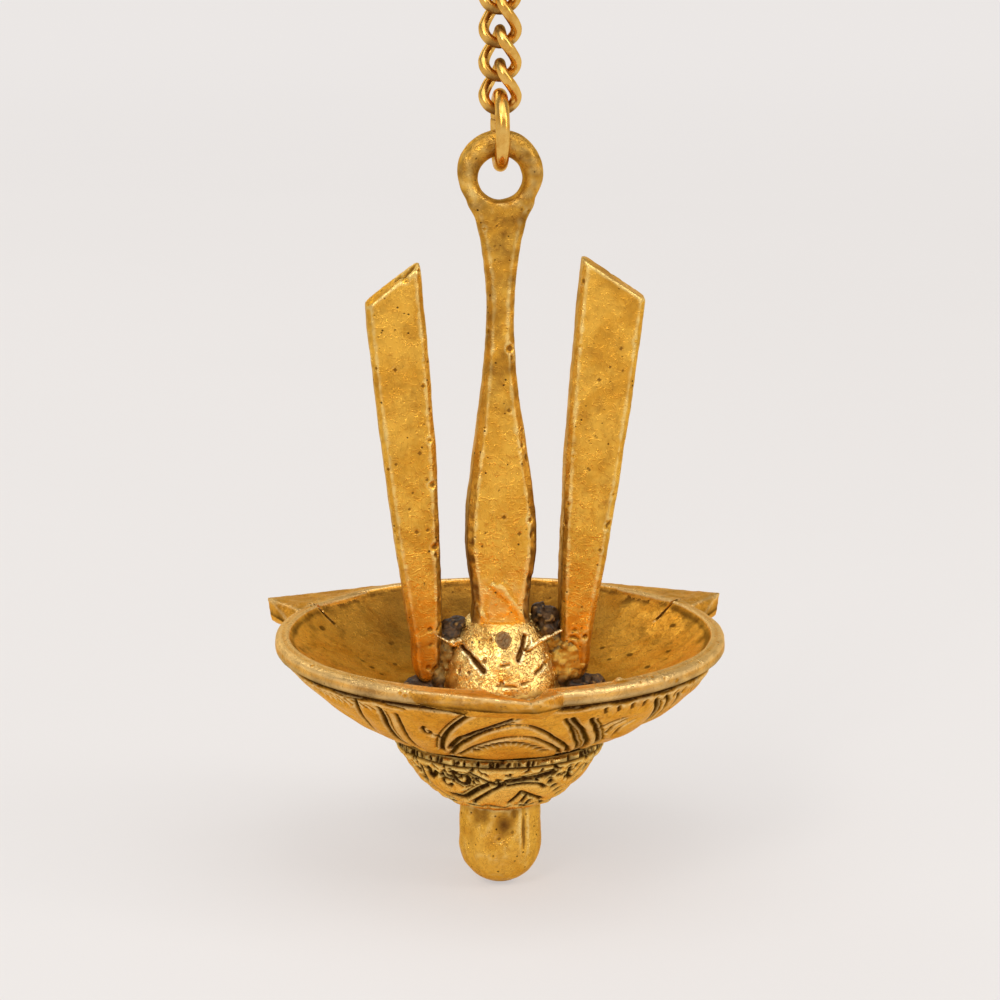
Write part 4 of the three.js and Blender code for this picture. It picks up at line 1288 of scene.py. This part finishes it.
def raise_filler(mesh):
    """Raises three runs of filler metal on the stem's front, and says where they are."""
    points = coordinates(mesh)
    filler = np.zeros(len(points))
    uneven = 0.25 * noise_at(points, 1.4, 21.0)
    for a, b, width in (((-0.4, 55.6), (4.8, 48.6), 0.42), ((-1.6, 55.9), (1.2, 53.2), 0.30),
                        ((-4.4, 52.0), (-3.0, 49.6), 0.34)):
        d = np.linalg.norm(off_segment(points[:, [0, 2]], a, b), axis=1) + uneven
        filler = np.maximum(filler, peak(d / width))
    filler *= smoothstep(0.5, 0.9, -normals(mesh)[:, 1])
    push(mesh, 0.26 * filler)
    return filler


def stem_patina_and_shade(points, out):
    """Dark places of the stem: painted shade on its foot's sides and its side faces, most low down; mottled
    above the belly, the neck and the eye.
    """
    x, _, z = points.T
    facing = np.abs(out[:, 0])
    # painted shade on the sides of the stem's foot, between it and the bars
    foot = smoothstep(58, 50, z) * smoothstep(3.4, 5.0, np.abs(x)) * 0.8
    mottled = 0.30 + 0.55 * noise_at(points, 2.4, 4.0) + 0.25 * noise_at(points, 0.9, 9.0)
    mottled *= smoothstep(78, 96, z) * smoothstep(125, 120, z)
    neck = peak((z - 118) / 3.2) * peak(x / 2.6) * 0.70 * (0.8 + noise_at(points, 1.2, 1.0))
    eye_inside = peak((np.hypot(x, z - EYE_HOLE) - 3.6) / 0.6) * 0.55
    eye = 0.38 + 0.50 * noise_at(points, 2.6, 12.0) + 0.2 * noise_at(points, 0.9, 5.0)
    eye *= smoothstep(119, 122, z)
    # painted shade on the side faces, strongest low down
    sides = smoothstep(0.80, 0.97, facing) * (0.30 + 0.3 * noise_at(points, 3.0, 2.0))
    low_side_shade = smoothstep(0.55, 0.85, facing + 0.25 * noise_at(points, 1.6, 7.0))
    low_side_shade *= smoothstep(84, 62, z) * 0.9
    return np.maximum.reduce([foot, mottled, eye, eye_inside, neck, sides, low_side_shade])


def stem():
    obj = stem_blank()
    mesh = obj.data
    # the shoulders flow into the eye
    points = coordinates(mesh)
    fill = peak((points[:, 2] - 122.3) / 1.3) * smoothstep(2.6, 4.6, np.abs(points[:, 0]))
    points[:, 0] += np.sign(points[:, 0]) * fill * 0.5
    set_coordinates(mesh, points)
    around_shoulders = peak((points[:, 2] - 122.0) / 2.2)
    outside_hole = smoothstep(3.9, 4.6, np.hypot(points[:, 0], points[:, 2] - EYE_HOLE))
    relax(mesh, around_shoulders * outside_hole, 14)
    rough(mesh, 0.16, 5.0, 3.0)
    rough(mesh, 0.07, 1.5, 5.0)
    pits(mesh, 90, 31, 0.34, 0.20)
    # knocks along the long edges
    pits(mesh, 26, 32, 0.7, 0.30, on_long_edge)
    filler = raise_filler(mesh)
    points = coordinates(mesh)
    out = normals(mesh)
    # a painted highlight on the front of the stem's foot; the filler runs are rubbed bright and partly a
    # painted highlight too
    painted_foot_highlight = 0.20 * smoothstep(62, 51, points[:, 2]) * smoothstep(0.4, 0.8, -out[:, 1])
    rubbed_and_highlit = painted_foot_highlight * (1 + 0.8 * noise_at(points, 3.0, 11.0)) + 0.22 * filler
    patina_and_shade = stem_patina_and_shade(points, out)
    placed(obj, "lamp", "centre_stem", uprights, patina_and_shade, sharp=60, rubbed_and_highlit=rubbed_and_highlit)


# Of each bar: its length, how far out the inner and outer corners of its top stand, and the places
# (across, up) of its low pits
BARS = {
    -1: (75.0, 14.0, 23.5, ((-11.6, 40.6), (-12.4, 44.4), (-11.4, 47.0))),
    1: (75.7, 14.3, 25.4, ((12.4, 44.6), (11.9, 41.6), (13.6, 46.4))),
}
# A void left by the casting in the left bar's slanted top: round hollows (x, y, z, radius)
VOID = [(-16.4, -0.4, 111.4, 1.15), (-17.9, 0.3, 110.4, 0.8), (-15.4, 0.5, 112.1, 0.7)]


def bar(side):
    length, inner_top, top_outer, low_pits = BARS[side]
    waist = BAR_FOOT + 6.8
    top = BAR_FOOT + length
    rings = []

    def section(inner, outer, half_depth):
        inner, outer = np.array(inner), np.array(outer)
        width = np.linalg.norm(outer - inner)
        unit = (outer - inner) / width
        middle = (inner + outer) / 2
        flat = chamfered(width / 2, half_depth, 1.05)
        x = side * (middle[0] + flat[:, 0] * unit[0])
        z = middle[1] + flat[:, 0] * unit[1]
        ring = np.column_stack([x, flat[:, 1], z])
        return ring if side > 0 else ring[::-1]

    foot = BAR_FOOT - 0.3
    for u in (0, 0.03, 0.08, 0.15, 0.25, 0.4, 0.6, 0.8):
        blunt = (1 - (1 - u) ** 3.2) ** 0.45
        half = max(0.95, 2.75 * blunt)
        height = mix(foot, waist, u)
        rings.append(section((13.15 - half, height), (13.15 + half, height), 3.7 * (0.6 + 0.4 * blunt)))
    for i in range(41):
        t = i / 40
        inner = (mix(10.4, inner_top, t) - 4 * 0.875 * t * (1 - t), mix(waist, top, t))
        outer = (mix(15.9, top_outer, t) + 4 * 0.55 * t * (1 - t), mix(waist, top - 7.4, t))
        rings.append(section(inner, outer, mix(3.7, 2.3, t)))
    # the slanted top also leans to the front
    rings[-1][:, 2] -= smoothstep(0.6, -2.4, rings[-1][:, 1]) * 0.7
    node = f"{HANDS[side]}_bar"
    obj = loft(f"{node}_casting", rings)
    remeshed(obj, 0.32, 2)
    mesh = obj.data
    # the high corner is blunt
    points = coordinates(mesh)
    points[:, 2] = np.minimum(points[:, 2], top - 0.55 + 0.10 * noise_at(points, 1.5, 3.0))
    set_coordinates(mesh, points)
    relax(mesh, smoothstep(top - 2.6, top - 1.2, points[:, 2]), 2)
    rough(mesh, 0.16, 6.5, 10.0 + side)
    rough(mesh, 0.07, 1.6, 12.0 + side)
    pits(mesh, 60, 41 + side, 0.34, 0.20)
    pits(mesh, 22, 51 + side, 0.7, 0.28, on_long_edge)
    for count, (x, z) in enumerate(low_pits):
        pits(mesh, 5, 61 + 3 * count + side, 0.42, 0.30,
             lambda p, n, x=x, z=z: (n[:, 1] < -0.5) & (np.hypot(p[:, 0] - x, p[:, 2] - z) < 1.6))
    points = coordinates(mesh)
    sunk = np.zeros(len(points))
    for *centre, size in VOID if side < 0 else ():
        d = np.linalg.norm(points - np.array(centre), axis=1)
        sunk = np.maximum(sunk, np.clip(1 - (d / (size * 1.5)) ** 2, 0, 1) * size)
    points[:, 2] -= sunk * 1.1
    set_coordinates(mesh, points)
    points = coordinates(mesh)
    height = points[:, 2]
    facing = normals(mesh)[:, 0]
    # painted shade: darker towards the foot and lower down in the bowl, on the inner face towards the stem,
    # and on the side faces
    foot_shade = smoothstep(45, 38.5, height) * (0.55 + 0.45 * noise_at(points, 1.8, 2.0))
    low = smoothstep(56, 42, height) * (0.44 + 0.42 * noise_at(points, 2.4, 17.0))
    inner_face_shade = smoothstep(0.5, 0.9, -side * facing) * smoothstep(75, 48, height) * 0.7
    sides = smoothstep(0.80, 0.97, np.abs(facing)) * (0.30 + 0.3 * noise_at(points, 3.0, 2.0))
    mottled = 0.05 + 0.24 * noise_at(points, 3.4, 6.0) + 0.22 * noise_at(points, 1.1, 3.0)
    patina_and_shade = np.maximum.reduce([foot_shade, low, inner_face_shade, sides, mottled, 1.4 * sunk])
    placed(obj, "lamp", node, uprights, patina_and_shade, sharp=60)


# Chain, rings and hook

def tube(name, centres, radius, sides, closed=True):
    """A round wire along a line of points, with a frame that never twists. An open one has flat ends."""
    centres = np.asarray(centres, float)
    count = len(centres)
    if closed:
        tangents = np.roll(centres, -1, 0) - np.roll(centres, 1, 0)
    else:
        tangents = np.gradient(centres, axis=0)
    tangents /= np.linalg.norm(tangents, axis=1)[:, None]
    radii = np.broadcast_to(radius, (count,))
    side = np.cross(tangents[0], (0.3, 0.5, 0.81))
    side /= np.linalg.norm(side)
    sides_list = []
    for t in tangents:
        side = side - t * (side @ t)
        side /= np.linalg.norm(side)
        sides_list.append(side.copy())
    if closed:
        last = sides_list[-1] - tangents[0] * (sides_list[-1] @ tangents[0])
        last /= np.linalg.norm(last)
        first_up = np.cross(tangents[0], sides_list[0])
        twist = math.atan2(last @ first_up, last @ sides_list[0])
    else:
        twist = 0.0
    points = []
    for i, (c, t, s) in enumerate(zip(centres, tangents, sides_list)):
        up = np.cross(t, s)
        back = -twist * i / count
        for k in range(sides):
            a = 2 * math.pi * k / sides + back
            points.append(c + radii[i] * (math.cos(a) * s + math.sin(a) * up))
    faces = []
    for i in range(count if closed else count - 1):
        a, b = i * sides, ((i + 1) % count) * sides
        faces += [(a + k, a + (k + 1) % sides, b + (k + 1) % sides, b + k) for k in range(sides)]
    if not closed:
        faces.append(tuple(range(sides))[::-1])
        faces.append(tuple((count - 1) * sides + k for k in range(sides)))
    return clean(object_from(name, mesh_from(name, points, faces)))


def link_line(twist, steps):
    """The middle line of a link's wire, twisted by that many degrees from end to end."""
    half = (LINK_LENGTH - LINK_WIRE) / 2
    bend = (LINK_WIDTH - LINK_WIRE) / 2
    straight = 2 * (half - bend)
    arc = math.pi * bend
    total = 2 * (arc + straight)
    points = []
    for i in range(steps):
        s = total * i / steps
        if s < straight:
            across, height = bend, s - straight / 2
        elif s < straight + arc:
            a = (s - straight) / bend
            across, height = bend * math.cos(a), straight / 2 + bend * math.sin(a)
        elif s < 2 * straight + arc:
            across, height = -bend, straight / 2 - (s - straight - arc)
        else:
            a = math.pi + (s - 2 * straight - arc) / bend
            across, height = bend * math.cos(a), -straight / 2 + bend * math.sin(a)
        turn = twist / 2 * DEG * (1 + math.sin(math.pi * height / (2 * half)))
        points.append((across * math.cos(turn), across * math.sin(turn), height))
    return np.array(points)


def chain_link(index):
    node = f"chain_link_{index}"
    low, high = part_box(node)
    centre = (low.z + high.z) / 2 / MM
    line = link_line(-90, 96)
    random = np.random.default_rng(60 + index)
    swell = 1 - 0.05 * np.abs(np.sin(np.linspace(0, 2 * math.pi, 96) + random.uniform(0, 6)))
    obj = tube(f"curb_link_{index}", line, 0.99 * swell, 16)
    mesh = obj.data
    rough(mesh, 0.06, 1.8, float(index), inward=True)
    points = coordinates(mesh)
    ends = smoothstep(2.6, 4.2, np.abs(points[:, 2]))
    inner = polar(points)[1]
    patina_and_shade = ends * smoothstep(3.2, 2.2, inner) * 0.9
    # the solder seam on one side of the link
    seam = peak((points[:, 2] - 0.4) / 0.28) * (points[:, 0] + points[:, 1] > 1.5)
    push(mesh, -0.07 * seam)
    points = coordinates(mesh)
    points[:, 2] += centre
    set_coordinates(mesh, points)
    patina_and_shade = np.maximum(patina_and_shade, seam * 0.5)
    placed(obj, f"link_{index}", node, golden_wire, patina_and_shade, sharp=70, lamp=False)


def wire_ring(node, name, body, plane):
    low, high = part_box(node)
    centre = (low.z + high.z) / 2 / MM
    radius = (RING_SIZE - RING_WIRE) / 2
    angles = np.linspace(0, 2 * math.pi, 128, endpoint=False)
    across, up, zero = radius * np.cos(angles), radius * np.sin(angles), np.zeros(len(angles))
    line = np.column_stack([across, zero, up] if plane == "xz" else [zero, across, up])
    joint = peak(((angles - 0.25 + math.pi) % (2 * math.pi) - math.pi) / 0.028)
    obj = tube(name, line, 1.24 * (1 - 0.09 * joint), 20)
    mesh = obj.data
    rough(mesh, 0.05, 2.2, 4.0 if plane == "xz" else 8.0, inward=True)
    points = coordinates(mesh)
    inner = np.linalg.norm(points, axis=1)
    patina_and_shade = smoothstep(radius - 0.2, radius - 1.1, inner) * smoothstep(3.0, 5.4, np.abs(points[:, 2])) * 0.85
    patina_and_shade = np.maximum(patina_and_shade, np.repeat(joint, 20) * 0.8)
    points[:, 2] += centre
    set_coordinates(mesh, points)
    placed(obj, body, node, golden_wire, patina_and_shade, sharp=70, lamp=False)


def even_spline(points, steps):
    """A smooth line through the points, in that many even steps."""
    p = np.asarray(points, float)
    line = spline([2 * p[0] - p[1], *p, 2 * p[-1] - p[-2]], 12)
    return respaced(line, arc_lengths(line)[-1] / steps)


def hook():
    bend, eye_radius, inside, shank, curve = 8.0, 5.1, 6.5, 17.0, 13.6
    eye_centre = -inside - shank - eye_radius
    points = []
    for angle in range(205, 0, -15):
        points.append((bend * math.cos(angle * DEG), 0, bend * math.sin(angle * DEG) - inside))
    for i in range(4):
        points.append((bend * (1 - ease(i / 4)), 0, -inside - curve * i / 4))
    points.append((0, 0, -inside - (curve + shank) / 2))
    for angle in range(40, 105 - 360 - 1, -15):
        across, up = eye_radius * math.cos(angle * DEG), eye_radius * math.sin(angle * DEG)
        points.append((0, across, eye_centre + up))
    line = even_spline(points, 260)
    s = arc_lengths(line)
    ends = np.minimum(s, s[-1] - s)
    radius = 1.49 * np.sqrt(np.clip(1 - (1 - np.clip(ends / 0.9, 0, 1)) ** 2, 0.02, 1))
    obj = tube("wire_hook", line, radius, 24, closed=False)
    mesh = obj.data
    rough(mesh, 0.05, 2.4, 15.0, inward=True)
    points = coordinates(mesh)
    worn = peak((np.hypot(points[:, 0], points[:, 2] + inside) - inside) / 0.9)
    patina_and_shade = worn * smoothstep(-3, 2, points[:, 2] + 2) * 0.6
    placed(obj, "hook", "hanging_hook", golden_wire, patina_and_shade, sharp=70, lamp=False)


# Build

oil_bowl()
base_cup()
finial()
boss()
rivet()
for side in (-1, 1):
    bar(side)
    braze_lumps(side)
stem()
for index in range(1, 8):
    chain_link(index)
wire_ring("top_ring", "upper_wire_ring", "upper_ring", "xz")
wire_ring("jump_ring", "lower_wire_ring", "lower_ring", "yz")
hook()

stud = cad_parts["centre_stud"]
stud.data.materials.clear()
stud.data.materials.append(aged)


# Floor, light, camera

def pale_floor():
    """A matt floor that glows a little towards the camera, and more so far away."""
    n = Nodes("pale_floor")
    shade = n.mixed(n.ramp(n.noise(180.0, 3, 0.5), 0.3, 0.7), (0.815, 0.79, 0.77), (0.83, 0.805, 0.785))
    n.link(shade, n.shader.inputs["Base Color"])
    n.shader.inputs["Roughness"].default_value = 0.9
    n.shader.inputs["Specular IOR Level"].default_value = 0.1
    glow = n.node("ShaderNodeEmission", {"Color": (0.84, 0.807, 0.791, 1)})
    rays = n.node("ShaderNodeLightPath").outputs
    seen_rays = n.plus(rays["Is Camera Ray"], rays["Is Glossy Ray"])
    seen_rays = n.plus(seen_rays, rays["Is Transmission Ray"], clamp=True)
    away = n.node("ShaderNodeVectorMath", {0: n.place}, operation="LENGTH")
    share = n.ramp(away.outputs["Value"], 0.45, 1.8, 0.58, 0.95)
    blend = n.node("ShaderNodeMixShader", {
        "Fac": n.times(seen_rays, share), 1: n.shader.outputs["BSDF"], 2: glow.outputs["Emission"]})
    n.link(blend.outputs["Shader"], n.output.inputs["Surface"])
    return n.material


floor_height = (LAMP_ZERO - 0.3) * MM
floor_mesh = mesh_from(
    "floor", [(-6, -6, floor_height), (6, -6, floor_height), (6, 9, floor_height), (-6, 9, floor_height)],
    [(0, 1, 2, 3)],
)
floor_mesh.materials.append(pale_floor())
floor = object_from("floor", floor_mesh)

world = bpy.data.worlds.new("studio")
bpy.context.scene.world = world
world.use_nodes = True
sky = world.node_tree
# the walls of the studio are as pale as the floor, and its ceiling is darker
direction = sky.nodes.new("ShaderNodeTexCoord")
upward = sky.nodes.new("ShaderNodeSeparateXYZ")
climb = sky.nodes.new("ShaderNodeMapRange")
climb.interpolation_type = "SMOOTHSTEP"
climb.inputs["From Min"].default_value = 0.12
climb.inputs["From Max"].default_value = 0.60
shades = sky.nodes.new("ShaderNodeMix")
shades.data_type = "RGBA"
colours = [s for s in shades.inputs if s.type == "RGBA"]
colours[0].default_value = (0.83, 0.80, 0.78, 1)
colours[1].default_value = (0.35, 0.335, 0.32, 1)
sky.links.new(direction.outputs["Generated"], upward.inputs["Vector"])
sky.links.new(upward.outputs["Z"], climb.inputs["Value"])
sky.links.new(climb.outputs["Result"], shades.inputs["Factor"])
sky.links.new(
    next(s for s in shades.outputs if s.type == "RGBA"), sky.nodes["Background"].inputs["Color"]
)


def aimed(name, data, direction, place=(0, 0, 0)):
    """Puts a light or the camera in the scene, looking in that direction."""
    obj = object_from(name, data)
    obj.location = place
    obj.rotation_mode = "QUATERNION"
    obj.rotation_quaternion = Vector(direction).to_track_quat("-Z", "Y")
    return obj


def area_light(name, place, size, power, colour=(1, 1, 1)):
    data = bpy.data.lights.new(name, "AREA")
    data.shape = "RECTANGLE"
    data.size, data.size_y = size
    data.energy = power
    data.color = colour
    aimed(name, data, Vector((0, 0, -0.15)) - Vector(place), place)


area_light("key", (-0.42, -0.78, 0.52), (0.26, 0.36), 2.6, (1.0, 0.98, 0.95))
area_light("fill", (0.75, -0.35, 0.30), (0.20, 0.50), 1.5)
area_light("back", (-0.50, 0.80, 0.50), (0.50, 0.40), 0.9)

# two soft suns, from the front left and the front right
for side in (-1, 1):
    sun = bpy.data.lights.new("soft_sun", "SUN")
    sun.energy = 0.78
    sun.angle = 50 * DEG
    aimed("soft_sun", sun, (-0.321 * side, 0.383, -0.866))

camera = bpy.data.cameras.new("camera")
camera.sensor_width = 36
camera.lens = 114.4
camera.clip_start = 0.01
camera.clip_end = 50
bpy.context.scene.camera = aimed(
    "camera", camera, (0.07645, 0.97144, -0.22461), (-0.04281, -0.54401, -0.02500))

bpy.context.scene.view_settings.view_transform = "Standard"
